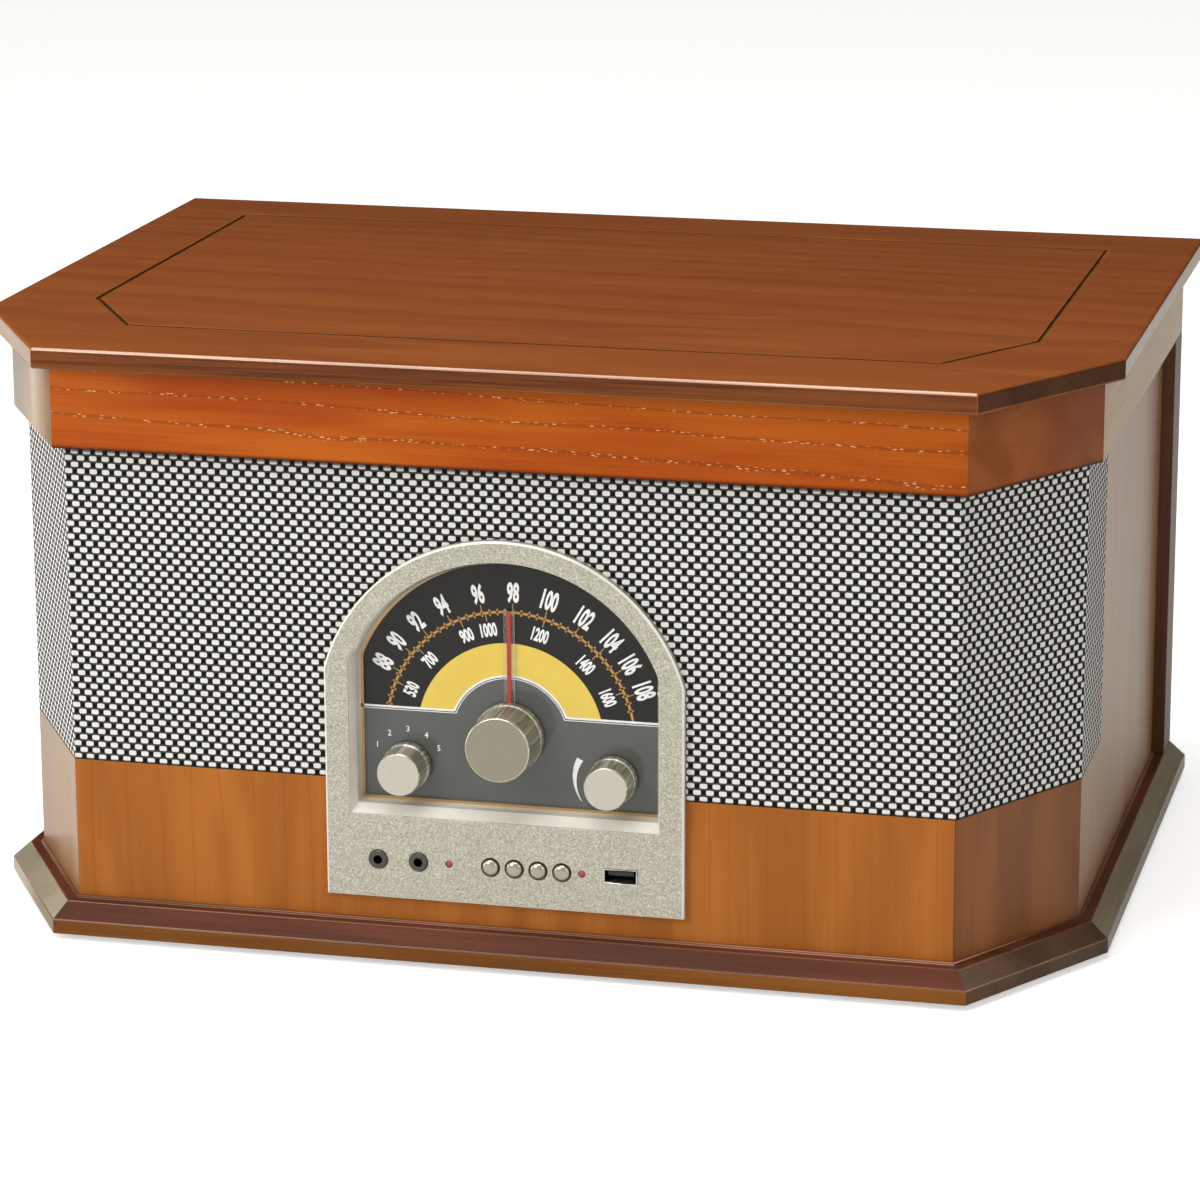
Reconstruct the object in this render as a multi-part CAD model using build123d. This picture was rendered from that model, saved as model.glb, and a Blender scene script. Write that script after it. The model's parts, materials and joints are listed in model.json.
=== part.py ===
from build123d import *
import math
import os

# Retro cabinet turntable with a radio dial. Millimetres, +Z up, the front faces -Y.
# The origin is under the middle of the cabinet, on the surface that its feet stand on.

# Plan of the cabinet, taken over the lid
cabinet_width = 460.0
cabinet_depth = 330.0
corner_width = 45.0
corner_depth = 74.0
lid_overhang = 8.0
cloth_recess = 5.5
plinth_inset = 1.0

# Heights, from the surface upwards
foot_drop = 2.5
plinth_height = 12.0
band_height = 58.0
cloth_height = 128.0
apron_height = 32.5
lid_gap = 0.5
lid_thickness = 8.5

# Clearances
gap = 0.3
running = 0.05

# Boards
wall_thickness = 9.0
apron_thickness = 8.0
base_thickness = 9.0
back_thickness = 4.0
back_recess = 2.0
post_depth = 22.0
post_width = 19.0
cleat_width = 10.0
cleat_height = 12.0
plinth_lip = 6.0
bead_size = 1.0
lid_round = 1.5
lid_under_round = 0.8

# Grille
cloth_thickness = 0.8
grille_frame_thickness = 2.2
grille_wrap = 55.0
speaker_z = 136.0
speaker_radius = 33.0
speaker_flange = 39.0
speaker_flange_thickness = 2.0
speaker_depth = 34.0
magnet_radius = 23.0
magnet_depth = 14.0
cone_throat = 9.0
cone_depth = 15.0
cone_thickness = 0.8

# Lid groove, measured from the lid's edges
groove_side_inset = 37.0
groove_front_inset = 50.0
groove_back_inset = 36.0
groove_corner_width = 30.0
groove_corner_depth = 49.0
groove_half_width = 1.1
groove_depth = 1.2
groove_floor = 0.25

# Feet
foot_radius = 11.0
foot_front_side = 90.0
foot_front_inset = 48.0
foot_rear_side = 50.0
foot_rear_inset = 40.0
foot_recess_radius = 5.0
foot_recess_depth = 2.2

# Lid hinges
hinge_barrel = 2.5
hinge_pin = 1.2
hinge_side = 100.0
hinge_length = 44.0
hinge_leaf = 1.2
hinge_drop = 5.5
hinge_leaf_drop = 20.0
hinge_leaf_rise = 13.0
hinge_screw_pitch = 28.0
screw_head = 2.6
screw_head_height = 0.9

# Lid stay
stay_reach = 70.0
stay_open_angle = 75.0
stay_arm_width = 9.0
stay_arm_thickness = 1.5
stay_stud = 2.0
stay_pin = 1.5
stay_plate = 2.0
stay_bracket_length = 34.0
stay_bracket_height = 14.0
stay_web = 1.5
stay_web_space = 1.3
stay_slot_play = 0.15
stay_flange_width = 11.0
stay_track_end = 6.0

# Deck
deck_drop = 53.2
deck_thickness = 2.5
deck_side_gap = 0.4
deck_ring_width = 1.6
deck_ring_height = 1.2
deck_ring_gap = 4.0
deck_screw_front_side = 80.0
deck_screw_rear_side = 35.0
deck_screw_front = 9.0
deck_screw_rear = 7.0
pulley_hole_gap = 2.0
arm_hole_gap = 1.5
spindle_x = -38.0
spindle_radius = 3.55
spindle_shaft = 4.0
spindle_round = 3.0
spindle_above_mat = 13.0
spindle_below_deck = 13.0
bearing_radius = 6.0
bearing_flange = 13.0
bearing_flange_thickness = 2.0

# Platter and drive
platter_radius = 100.0
platter_height = 8.0
platter_lift = 1.5
platter_top_thickness = 2.5
platter_rim = 3.0
platter_hub = 12.0
drive_radius = 62.0
drive_wall = 3.0
mat_thickness = 2.0
mat_inset = 3.0
pulley_radius = 5.0
pulley_distance = 79.0
pulley_angle = 135.0
pulley_flange = 0.9
belt_thickness = 0.8
belt_height = 2.6
motor_radius = 17.0
motor_height = 22.0
motor_shaft = 1.0
motor_boss = 5.0
motor_plate_radius = 25.0
motor_plate_thickness = 1.2
grommet_radius = 3.6
grommet_height = 2.4
grommet_circle = 20.5

# Tonearm
record_thickness = 2.0
arm_pivot_distance = 185.0
arm_pivot_angle = 30.0
arm_tube = 4.0
arm_joint_distance = 176.0
head_offset_angle = 22.0
head_length = 34.0
head_back_width = 11.0
head_front_width = 17.0
head_thickness = 3.4
head_neck = 3.2
head_neck_length = 9.0
stylus_reach = 24.0
stylus_drop = 13.5
cartridge_length = 19.0
cartridge_width = 12.0
cartridge_height = 8.4
arm_base_radius = 21.0
arm_base_flange = 3.0
arm_column = 14.0
arm_column_gap = 11.5
arm_shaft = 4.0
yoke_disc = 11.0
yoke_disc_height = 2.7
yoke_ear = 2.5
yoke_ear_depth = 9.0
gimbal_width = 16.0
gimbal_length = 16.0
gimbal_height = 12.0
arm_axle = 1.0
weight_radius = 11.0
weight_length = 18.0
weight_distance = 24.0
stub_end = 4.0
rest_distance = 150.0
rest_column = 4.0
rest_base = 8.0
rest_block = 4.5
rest_wall = 3.0
rest_wall_rise = 5.5

# Cueing
cue_radius = 30.0
cue_bar_width = 4.0
cue_bar_height = 2.2
cue_first_angle = 222.0
cue_last_angle = 274.0
cue_plunger = 2.0
cue_tower = 5.5
cue_travel = 6.0
cue_lever_x = 27.8
cue_lever_y = -14.0
cue_lever_height = 7.0
cue_lever_length = 32.0
cue_lever_width = 6.0
cue_lever_rest_angle = 60.0
cue_shaft = 2.0
cue_block_width = 6.0

# Deck controls
control_side = 41.5
speed_lever_y = -62.0
speed_shaft = 3.0
speed_lever_length = 20.0
speed_hub = 7.0
speed_grip = 4.0
speed_lever_thickness = 3.0
stop_switch_y = -104.0
stop_travel = 6.0
stop_cap_length = 9.0
stop_cap_width = 6.0
stop_cap_height = 3.0
stop_cap_edge = 0.8
stop_neck_width = 3.0
stop_neck_length = 5.0
stop_neck_reach = 2.0
stop_body_half = 6.0
stop_body_end = 13.0
stop_body_height = 8.0
speed_stem = 5.0
speed_body_half = 10.0
speed_body_depth = 8.0
speed_body_height = 10.0
adapter_y = 18.0
adapter_radius = 19.0
adapter_height = 5.0
adapter_peg_height = 3.5

# Dial bezel
bezel_half_width = 72.2
bezel_bottom = 25.2
bezel_crown = 172.6
bezel_arc = 75.1
bezel_blend = 9.0
bezel_thickness = 3.5
bezel_edge = 0.8
window_half_width = 62.3
window_bottom = 59.2
window_crown = 164.2
window_arc = 66.8
window_blend = 8.0
window_depth = 12.0
tunnel_wall = 1.8
trim_recess = 0.7
trim_wall = 1.8
trim_lip = 3.2
trim_slope = 4.5
dial_thickness = 2.0
dial_margin = 1.4

# Knobs
dial_axis_z = 91.5
tuning_knob_radius = 13.35
tuning_knob_face = 8.5
small_knob_radius = 9.0
small_knob_face = 3.0
small_knob_x = 41.6
small_knob_z = 77.0
knob_shaft = 3.0
knob_lift = 1.3
knob_skirt = 0.6
knob_skirt_height = 3.2
knob_edge = 0.7
knob_mark_radius = 0.6
knob_mark_depth = 0.5
knob_mark_inset = 2.6
knob_front_wall = 3.0
selector_mark_angle = -60.0
volume_mark_angle = -150.0
pointer_length = 51.0
pointer_width = 4.2
pointer_thickness = 0.8
pointer_hub = 8.0
pointer_lift = 0.5
bush_radius = 4.5
bush_length = 6.0
control_plate_distance = 14.0
control_plate_thickness = 1.2
control_plate_margin = 6.0
control_plate_edge = 4.0
control_plate_foot = 8.0
control_radius = 9.0
control_depth = 9.0
shaft_depth = 6.0
capacitor_side = 25.0
capacitor_depth = 16.0

# Front control strip
strip_z = 41.0
headphone_x = -51.0
aux_x = -34.6
power_led_x = -22.2
first_button_x = -5.3
button_pitch = 9.57
record_led_x = 31.5
usb_x = 46.9
jack_collar = 3.9
jack_body = 5.0
jack_bore = 1.8
jack_depth = 12.5
jack_proud = 0.8
led_radius = 1.4
led_proud = 0.6
button_radius = 3.2
button_hole_gap = 0.3
button_proud = 1.8
button_travel = 0.8
button_flange = 4.2
button_flange_thickness = 1.0
button_stem = 1.4
button_switch_height = 3.4
usb_width = 13.4
usb_height = 5.9
usb_shell = 0.4
usb_proud = 0.3
usb_tongue = 1.8
usb_depth = 12.0
strip_board_half_width = 60.0
strip_board_height = 17.0
board_thickness = 1.6
switch_side = 6.0

# Inside the cabinet
main_board_x = -20.0
main_board_behind = 116.2
main_board_width = 150.0
main_board_depth = 90.0
standoff_height = 6.0
standoff_radius = 3.0
capacitor_radius = 8.0
capacitor_height = 26.0
capacitor_pitch = 22.0
capacitor_inset = 18.0
standoff_inset = 6.0
sink_x = 10.0
sink_y = 30.0
sink_height = 28.0
sink_plate = 3.0
sink_fin_length = 12.0
sink_fin_pitch = 7.4
sink_fins = 6
transformer_side = 95.0
transformer_behind = 96.2
transformer_ear = 9.0
transformer_ear_thickness = 1.5
coil_round = 4.0
transformer_width = 48.0
transformer_depth = 34.0
transformer_height = 40.0
coil_bulge = 9.0
antenna_x = -20.0
antenna_behind = 28.2
antenna_coil_wall = 1.5
antenna_coil_start = 18.0
antenna_coil_length = 32.0
cradle_depth = 15.0
cradle_cover = 3.0
antenna_radius = 5.0
antenna_length = 110.0
antenna_z_above_base = 16.0
cradle_width = 8.0

# Back sockets
line_out_side = 53.0
line_out_z = 60.0
line_out_pitch = 18.0
line_out_barrel = 4.1
line_out_bore = 1.6
line_out_length = 6.0
line_out_depth = 8.0
line_out_inside = 4.0
socket_plate = 1.5
line_out_plate_width = 42.0
line_out_plate_height = 22.0
inlet_side = 53.0
inlet_z = 45.0
inlet_width = 16.4
inlet_height = 9.2
inlet_depth = 13.0
inlet_flange = 3.0
inlet_wall = 2.0
inlet_pin = 1.2
inlet_pin_pitch = 8.6
inlet_pin_length = 9.0
vent_width = 46.0
vent_height = 3.2
vent_pitch = 8.0
vent_side = 81.0
vent_drop = 30.0
vent_count = 6
back_screw_inset = 7.0

# Levels worked out from the heights
plinth_top = foot_drop + plinth_height
cloth_bottom = plinth_top + band_height
apron_bottom = cloth_bottom + cloth_height
rim = apron_bottom + apron_height
lid_bottom = rim + lid_gap
lid_top = lid_bottom + lid_thickness
base_bottom = plinth_top - base_thickness
deck_top = rim - deck_drop
deck_seat = deck_top - deck_thickness

# Planes from front to back
lid_front = -(cabinet_depth + 2 * hinge_barrel) / 2
lid_back = lid_front + cabinet_depth
cabinet_back = lid_back - gap
half_width = cabinet_width / 2
wall_inset = lid_overhang + cloth_recess
grille_depth = cloth_thickness + grille_frame_thickness
board_inset = wall_inset + grille_depth
inner_inset = wall_inset + wall_thickness
body_front = lid_front + wall_inset
board_back = body_front + wall_thickness
bezel_face = body_front - bezel_thickness
dial_face = bezel_face + window_depth
back_face = cabinet_back - back_recess
back_inner = back_face - back_thickness
rear_rail_inner = cabinet_back - apron_thickness
post_front = cabinet_back - post_depth
apron_inner = half_width - lid_overhang - apron_thickness

# Places that follow the cabinet's width and depth
back_half = half_width - lid_overhang - post_width
hinge_x = half_width - hinge_side
control_x = half_width - board_inset - control_side
transformer_x = half_width - transformer_side
transformer_y = back_inner - transformer_behind
main_board_y = back_inner - main_board_behind
antenna_y = back_inner - antenna_behind
line_out_x = line_out_side - back_half
inlet_x = back_half - inlet_side
vent_x = back_half - vent_side

# Hinge axis
hinge_y = lid_back + hinge_barrel
hinge_z = lid_bottom - hinge_drop

# Record and tonearm
spindle_y = (lid_front + board_inset + rear_rail_inner) / 2
platter_bottom = deck_top + platter_lift
platter_top = platter_bottom + platter_height
mat_top = platter_top + mat_thickness
pivot_x = spindle_x + arm_pivot_distance * math.cos(math.radians(arm_pivot_angle))
pivot_y = spindle_y + arm_pivot_distance * math.sin(math.radians(arm_pivot_angle))
stylus_tip = mat_top + record_thickness + gap
tube_z = stylus_tip + stylus_drop
column_top = tube_z - arm_column_gap
cue_top = tube_z - arm_tube - gap


def block(x0, x1, y0, y1, z0, z1):
    """A block between two corners."""
    return Pos((x0 + x1) / 2, (y0 + y1) / 2, (z0 + z1) / 2) * Box(x1 - x0, y1 - y0, z1 - z0)


def group(*pieces):
    """Separate solids that share one name."""
    return Compound([solid for piece in pieces for solid in piece.solids()])


def turned(points, x=0.0, y=0.0):
    """A solid turned about an upright axis, from its half section as radius and height."""
    section = make_face(Polyline(*[(r, 0, z) for r, z in points], close=True))
    return Pos(x, y, 0) * revolve(section, Axis.Z)


def turned_forward(points, x=0.0, z=0.0):
    """A solid turned about a front-to-back axis, from its half section as radius and depth."""
    section = make_face(Polyline(*[(r, y, 0) for r, y in points], close=True))
    return Pos(x, 0, z) * revolve(section, Axis.Y)


def rod(radius, start, end):
    """A round bar between two points."""
    line = Vector(*end) - Vector(*start)
    return extrude(Plane(Vector(*start), z_dir=line) * Circle(radius), line.length)


def raised(face, z0, z1):
    """A flat outline made a solid between two heights."""
    return extrude(Pos(0, 0, z0) * face, z1 - z0)


def fronted(face, y_front, y_back):
    """An outline drawn in x and z made a solid between two depths."""
    return extrude(Plane((0, y_back, 0), x_dir=(1, 0, 0), z_dir=(0, -1, 0)) * face, y_back - y_front)


def offset_plan(half, front, back, leg_x, leg_y, inset):
    """Six corners of a plan with cut front corners, its front and sides moved in alike."""
    slant = math.hypot(leg_x, leg_y)
    side_part, front_part = leg_y / slant, leg_x / slant
    along_x = leg_x + inset * (1 - front_part) / side_part - inset
    along_y = leg_y + inset * (1 - side_part) / front_part - inset
    w, f = half - inset, front + inset
    return [(-w, back), (-w, f + along_y), (-w + along_x, f), (w - along_x, f), (w, f + along_y), (w, back)]


def plan_points(inset, back):
    """Corners of the cabinet's plan, moved in from the lid's edge."""
    return offset_plan(half_width, lid_front, back, corner_width, corner_depth, inset)


def plan(inset, back):
    return make_face(Polyline(*plan_points(inset, back), close=True))


def wall_ring(outer, inner, z0, z1):
    """A wall along both sides, both corners and the front."""
    return raised(plan(outer, cabinet_back) - plan(inner, cabinet_back), z0, z1)


def mitred(ring, run):
    """One board of a ring, cut at its mitres; the runs count from 0, the left side, to 4, the right side."""
    outer, inner = plan_points(-20, cabinet_back + 1), plan_points(80, cabinet_back + 1)
    wedge = Polyline(outer[run], outer[run + 1], inner[run + 1], inner[run], close=True)
    return ring & raised(make_face(wedge), -1, lid_top + 1)


def arch(half, bottom, crown, radius, blend):
    """An outline in x and z with upright sides and an arched top."""
    spring = crown - radius + math.sqrt(radius ** 2 - half ** 2)
    left = Line((-half, bottom), (-half, spring))
    top = ThreePointArc((-half, spring), (0, crown), (half, spring))
    right = Line((half, spring), (half, bottom))
    foot = Line((half, bottom), (-half, bottom))
    face = make_face([left, top, right, foot])
    shoulders = face.vertices().sort_by(Axis.Y)[-2:]
    return fillet(shoulders, blend)


def bezel_outline(grow=0.0):
    return arch(bezel_half_width + grow, bezel_bottom - grow, bezel_crown + grow, bezel_arc + grow,
                bezel_blend)


def window_outline(grow=0.0, lip=0.0):
    return arch(window_half_width + grow, window_bottom - grow + lip, window_crown + grow,
                window_arc + grow, window_blend)


def screw_section(level):
    """Half section of a pan head that sits on a level."""
    crown = level + screw_head_height
    return [(0, level), (screw_head, level), (screw_head * 0.8, crown), (0, crown)]


def rear_screw(x, y, z):
    """A screw driven from behind, its head on y."""
    return turned_forward(screw_section(y), x, z)


def top_screw(x, y, z):
    """A screw driven from above, its head on z."""
    return turned(screw_section(z), x, y)


# Cabinet carcass

def plinth_moulding():
    """Five mitred strips: an upright lip, a bevel, a flat ledge and a bead at the foot of the walls."""
    bevel_foot = foot_drop + plinth_lip
    lip = raised(plan(plinth_inset, cabinet_back), foot_drop, bevel_foot)
    bevel = loft([
        Pos(0, 0, bevel_foot) * plan(plinth_inset, cabinet_back),
        Pos(0, 0, plinth_top) * plan(lid_overhang, cabinet_back),
    ], ruled=True)
    inside = raised(plan(inner_inset, cabinet_back + 1), foot_drop - 1, plinth_top + 1)
    bead = wall_ring(wall_inset - bead_size, wall_inset, plinth_top, plinth_top + bead_size)
    bead = bead - block(-half_width, half_width, post_front, cabinet_back + 1, 0, rim)
    ring = lip + bevel - inside + bead
    return group(*[mitred(ring, run) for run in range(5)])


def base_board():
    return raised(plan(inner_inset, cabinet_back), base_bottom, plinth_top)


def foot_places():
    front, rear = lid_front + foot_front_inset, cabinet_back - foot_rear_inset
    front_x, rear_x = half_width - foot_front_side, half_width - foot_rear_side
    return [(-front_x, front), (front_x, front), (-rear_x, rear), (rear_x, rear)]


def feet():
    """Round rubber feet with a recess for the screw."""
    section = [(0, foot_recess_depth), (foot_recess_radius, foot_recess_depth), (foot_recess_radius, 0),
               (foot_radius - 1, 0), (foot_radius, 1), (foot_radius - 1.2, base_bottom), (0, base_bottom)]
    return group(*[turned(section, x, y) for x, y in foot_places()])


def walls():
    """The upright boards before they are parted, with the seat of the deck and the rebate of the grille."""
    ring = wall_ring(wall_inset, inner_inset, plinth_top, apron_bottom)
    seat = raised(plan(board_inset, cabinet_back + 1), deck_seat, apron_bottom + 1)
    rebate = wall_ring(wall_inset - 1, board_inset, cloth_bottom, apron_bottom + 1)
    rebate = rebate - block(-half_width, half_width, wrap_end, cabinet_back + 1, 0, rim)
    behind = block(-half_width, half_width, post_front, cabinet_back + 1, 0, rim)
    return ring - seat - rebate - behind


def dial_cutout(y0, y1):
    """Room for the dial housing and the control strip in the boards behind the bezel."""
    strip = Pos(0, strip_z) * Rectangle(2 * strip_board_half_width - 4, strip_board_height - 4)
    return fronted(window_outline(tunnel_wall + gap), y0, y1) + fronted(strip, y0, y1)


def speaker_cutouts(radius, y0, y1):
    """Round openings for the two speakers."""
    return [fronted(Pos(side * speaker_x, speaker_z) * Circle(radius), y0, y1) for side in (-1, 1)]


def front_board():
    board = mitred(walls(), 2) - dial_cutout(body_front - 1, board_back + 1)
    for hole in speaker_cutouts(speaker_radius, body_front - 1, board_back + 1):
        board = board - hole
    return board


def side_boards():
    """The two side panels and the two corner boards."""
    return group(*[mitred(walls(), run) for run in (0, 1, 3, 4)])


def rear_post(side):
    """A square post, level with the apron, with the seat of the deck cut into it."""
    outer = half_width - lid_overhang
    x0, x1 = sorted((side * (outer - post_width), side * outer))
    post = block(x0, x1, post_front, cabinet_back, plinth_top, apron_bottom)
    seat = raised(plan(board_inset, back_inner), deck_seat, apron_bottom + 1)
    return post - seat


def rear_frame():
    """Two posts and the batten between them that carries the rear edge of the deck."""
    x = back_half
    batten = block(-x, x, back_inner - cleat_width, back_inner, deck_seat - cleat_height, deck_seat)
    return group(rear_post(-1), rear_post(1), batten)


def apron_rails():
    """Five mitred rails round the front and sides, and the rail at the back."""
    ring = wall_ring(lid_overhang, lid_overhang + apron_thickness, apron_bottom, rim)
    rear = block(-apron_inner, apron_inner, rear_rail_inner, cabinet_back, apron_bottom, rim)
    return group(*[mitred(ring, run) for run in range(5)], rear)


def back_panel():
    """Hardboard back with vent slots and the holes of its sockets."""
    panel = block(-back_half, back_half, back_inner, back_face, plinth_top, apron_bottom)
    for side in (-1, 1):
        for n in range(vent_count):
            place = Pos(side * vent_x, deck_seat - vent_drop - n * vent_pitch)
            panel = panel - fronted(place * SlotOverall(vent_width, vent_height), back_inner - 1,
                                    back_face + 1)
    pocket = Pos(inlet_x, inlet_z) * inlet_outline(inlet_wall + gap)
    panel = panel - fronted(pocket, back_inner - 1, back_face + 1)
    for x in line_out_places():
        panel = panel - fronted(Pos(x, line_out_z) * Circle(line_out_barrel + gap), back_inner - 1,
                                back_face + 1)
    return panel


def cabinet_screws():
    """Screws round the edge of the back, and the four that hold the deck."""
    heads = [top_screw(x, y, deck_top) for x, y in deck_screw_places()]
    x = back_half - back_screw_inset
    for z in (plinth_top + back_screw_inset, (plinth_top + deck_seat) / 2, deck_seat - cleat_height / 2):
        heads += [rear_screw(-x, back_face, z), rear_screw(x, back_face, z)]
    return group(*heads)


# Grille

wrap_end = plan_points(wall_inset, 0)[1][1] + grille_wrap


def grille_layer(outer, inner, hole_radius):
    """One layer of the grille round the front, open for the dial and, in the frame, for the speakers."""
    ring = wall_ring(outer, inner, cloth_bottom, apron_bottom)
    ring = ring - block(-half_width, half_width, wrap_end, cabinet_back + 1, 0, rim)
    ring = ring - fronted(window_outline(tunnel_wall + gap), body_front - 1, board_back + 1)
    if hole_radius:
        for hole in speaker_cutouts(hole_radius, body_front - 1, board_back + 1):
            ring = ring - hole
    return ring


def grille_cloth():
    return grille_layer(wall_inset, wall_inset + cloth_thickness, 0)


def grille_frame():
    """Thin boards that the cloth is stretched over: front, two corners and two side strips."""
    layer = grille_layer(wall_inset + cloth_thickness, board_inset, speaker_radius)
    return group(*[mitred(layer, run) for run in range(5)])


# Speakers, each halfway between the dial housing and the corner

speaker_x = (window_half_width + tunnel_wall + plan_points(inner_inset, 0)[3][0]) / 2


def speaker_frame(side):
    """Pressed steel basket with a flat flange and a seat for the magnet."""
    front, back = board_back, board_back + speaker_depth - magnet_depth
    step = front + speaker_flange_thickness
    throat = magnet_radius - 6
    outer = [(speaker_flange, front), (speaker_flange, step), (speaker_radius + 1.2, step),
             (throat + 1.2, back), (0, back)]
    inner = [(0, back - 1.2), (throat, back - 1.2), (speaker_radius, step), (speaker_radius, front)]
    basket = turned_forward(outer + inner, side * speaker_x, speaker_z)
    for n in range(4):
        window = Rot(0, 45 + 90 * n, 0) * block(-7, 7, step + 3.5, back - 3.5, throat - 6, speaker_flange)
        basket = basket - Pos(side * speaker_x, 0, speaker_z) * window
    return basket


def speaker_cone(side):
    """Paper cone with a half-round surround and a domed cap."""
    edge, front = speaker_radius - gap, board_back
    roll = speaker_radius - 4
    deep = front + cone_depth
    t = cone_thickness
    cap = cone_throat
    outer = [(0, deep - 3.6), (cap * 0.6, deep - 3.0), (cap, deep - 0.8), (roll, front + 0.4),
             (roll + 1.6, front - 1.4), (edge - 0.6, front), (edge, front)]
    inner = [(edge, front + t), (edge - 0.9, front + t), (roll + 1.6, front - 0.5),
             (roll + 0.3, front + t + 0.6), (cap, deep + t), (0, deep + t)]
    return turned_forward(outer + inner, side * speaker_x, speaker_z)


def speaker_magnet(side):
    """Magnet ring between two steel plates."""
    front = board_back + speaker_depth - magnet_depth
    r, d = magnet_radius, magnet_depth
    points = [(0, front), (r - 2, front), (r - 2, front + 2), (r, front + 2), (r, front + d - 2),
              (r - 2, front + d - 2), (r - 2, front + d), (0, front + d)]
    return turned_forward(points, side * speaker_x, speaker_z)


def speaker_frames():
    return group(*[piece(side) for side in (-1, 1) for piece in (speaker_frame, speaker_magnet)])


def speaker_cones():
    return group(speaker_cone(-1), speaker_cone(1))


# Lid

def groove_points(inset):
    return offset_plan(half_width - groove_side_inset, lid_front + groove_front_inset,
                       lid_back - groove_back_inset - inset, groove_corner_width, groove_corner_depth, inset)


def groove_outline(inset):
    return make_face(Polyline(*groove_points(inset), close=True))


def lid_board():
    """Flat board with rounded edges and a line routed along its top."""
    board = raised(plan(0, lid_back), lid_bottom, lid_top)
    board = fillet(board.edges().group_by(Axis.Z)[-1], lid_round)
    board = chamfer(board.edges().group_by(Axis.Z)[0], lid_under_round)
    floor = lid_top - groove_depth
    outside = loft([Pos(0, 0, lid_top) * groove_outline(-groove_half_width),
                    Pos(0, 0, floor) * groove_outline(-groove_floor)], ruled=True)
    inside = loft([Pos(0, 0, lid_top) * groove_outline(groove_half_width),
                   Pos(0, 0, floor) * groove_outline(groove_floor)], ruled=True)
    return board - (outside - inside)


def hinge_segments():
    """Where the five knuckles of a hinge start and end along its pin."""
    step = hinge_length / 5
    return [(-hinge_length / 2 + n * step + gap / 2, -hinge_length / 2 + (n + 1) * step - gap / 2)
            for n in range(5)]


def hinge_leaf_solid(x, fixed):
    """A leaf with its knuckles: three on the cabinet's leaf, two on the lid's."""
    start, end = x - hinge_length / 2, x + hinge_length / 2
    if fixed:
        leaf = block(start, end, cabinet_back, cabinet_back + hinge_leaf, hinge_z - hinge_leaf_drop,
                     hinge_z - hinge_barrel - gap)
        picks, neck_front = (0, 2, 4), cabinet_back
        neck_low, neck_high = hinge_z - hinge_barrel - gap - 0.1, hinge_z
    else:
        leaf = block(start, end, lid_back, lid_back + hinge_leaf, hinge_z + hinge_barrel + gap,
                     hinge_z + hinge_leaf_rise)
        picks, neck_front = (1, 3), lid_back
        neck_low, neck_high = hinge_z, hinge_z + hinge_barrel + gap + 0.1
    for n in picks:
        a, b = hinge_segments()[n]
        leaf = leaf + rod(hinge_barrel, (x + a, hinge_y, hinge_z), (x + b, hinge_y, hinge_z))
        leaf = leaf + block(x + a, x + b, neck_front, neck_front + hinge_leaf, neck_low, neck_high)
    bore = hinge_pin if fixed else hinge_pin + running
    return leaf - rod(bore, (start - 1, hinge_y, hinge_z), (end + 1, hinge_y, hinge_z))


def hinge_leaves_lid():
    """The lid's leaves and their screws."""
    z = (lid_bottom + hinge_z + hinge_leaf_rise) / 2
    leaves = [hinge_leaf_solid(x, False) for x in (-hinge_x, hinge_x)]
    return group(*leaves, *[rear_screw(x, lid_back + hinge_leaf, z) for x in hinge_screw_places()])


def hinge_leaves_cabinet():
    """The cabinet's leaves, their screws and the pins that are fixed in their knuckles."""
    z = hinge_z - (hinge_leaf_drop + hinge_barrel) / 2
    half = hinge_length / 2
    leaves = [hinge_leaf_solid(x, True) for x in (-hinge_x, hinge_x)]
    pins = [rod(hinge_pin, (x - half, hinge_y, hinge_z), (x + half, hinge_y, hinge_z))
            for x in (-hinge_x, hinge_x)]
    return group(*leaves, *pins, *[rear_screw(x, cabinet_back + hinge_leaf, z) for x in hinge_screw_places()])


def hinge_screw_places():
    return [x + side * hinge_screw_pitch / 2 for x in (-hinge_x, hinge_x) for side in (-1, 1)]


# Lid stay: a link whose end pin slides in a track under the lid, so it turns twice as far as the lid

stay_y = hinge_y - stay_reach
stay_arm_x = apron_inner - stay_plate - gap - stay_arm_thickness
stay_web_x = stay_arm_x - stay_web_space - stay_web


def stay_bracket():
    """Plate on the side rail with the stud that carries the link."""
    z0 = hinge_z - stay_bracket_height / 2
    plate = block(apron_inner - stay_plate, apron_inner, stay_y - stay_bracket_length / 2,
                  stay_y + stay_bracket_length / 2, z0 - 2, min(z0 - 2 + stay_bracket_height, rim))
    stud = rod(stay_stud, (stay_arm_x - 0.9, stay_y, hinge_z), (apron_inner - stay_plate, stay_y, hinge_z))
    return plate + stud


def stay_arm():
    """Flat steel link, round at both ends, with the sliding pin riveted to its free end."""
    half = stay_arm_width / 2
    outline = SlotCenterToCenter(stay_reach, stay_arm_width)
    flat = Plane((stay_arm_x, stay_y - stay_reach / 2, hinge_z), x_dir=(0, 1, 0), z_dir=(1, 0, 0)) * outline
    link = extrude(flat, stay_arm_thickness)
    link = link - rod(stay_stud + running, (stay_arm_x - 1, stay_y, hinge_z), (apron_inner, stay_y, hinge_z))
    end_y = stay_y - stay_reach
    pin = rod(stay_pin, (stay_web_x - gap, end_y, hinge_z), (stay_arm_x, end_y, hinge_z))
    head = rod(half * 0.6, (stay_web_x - gap - 1.2, end_y, hinge_z), (stay_web_x - gap, end_y, hinge_z))
    return link + pin + head


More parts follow.
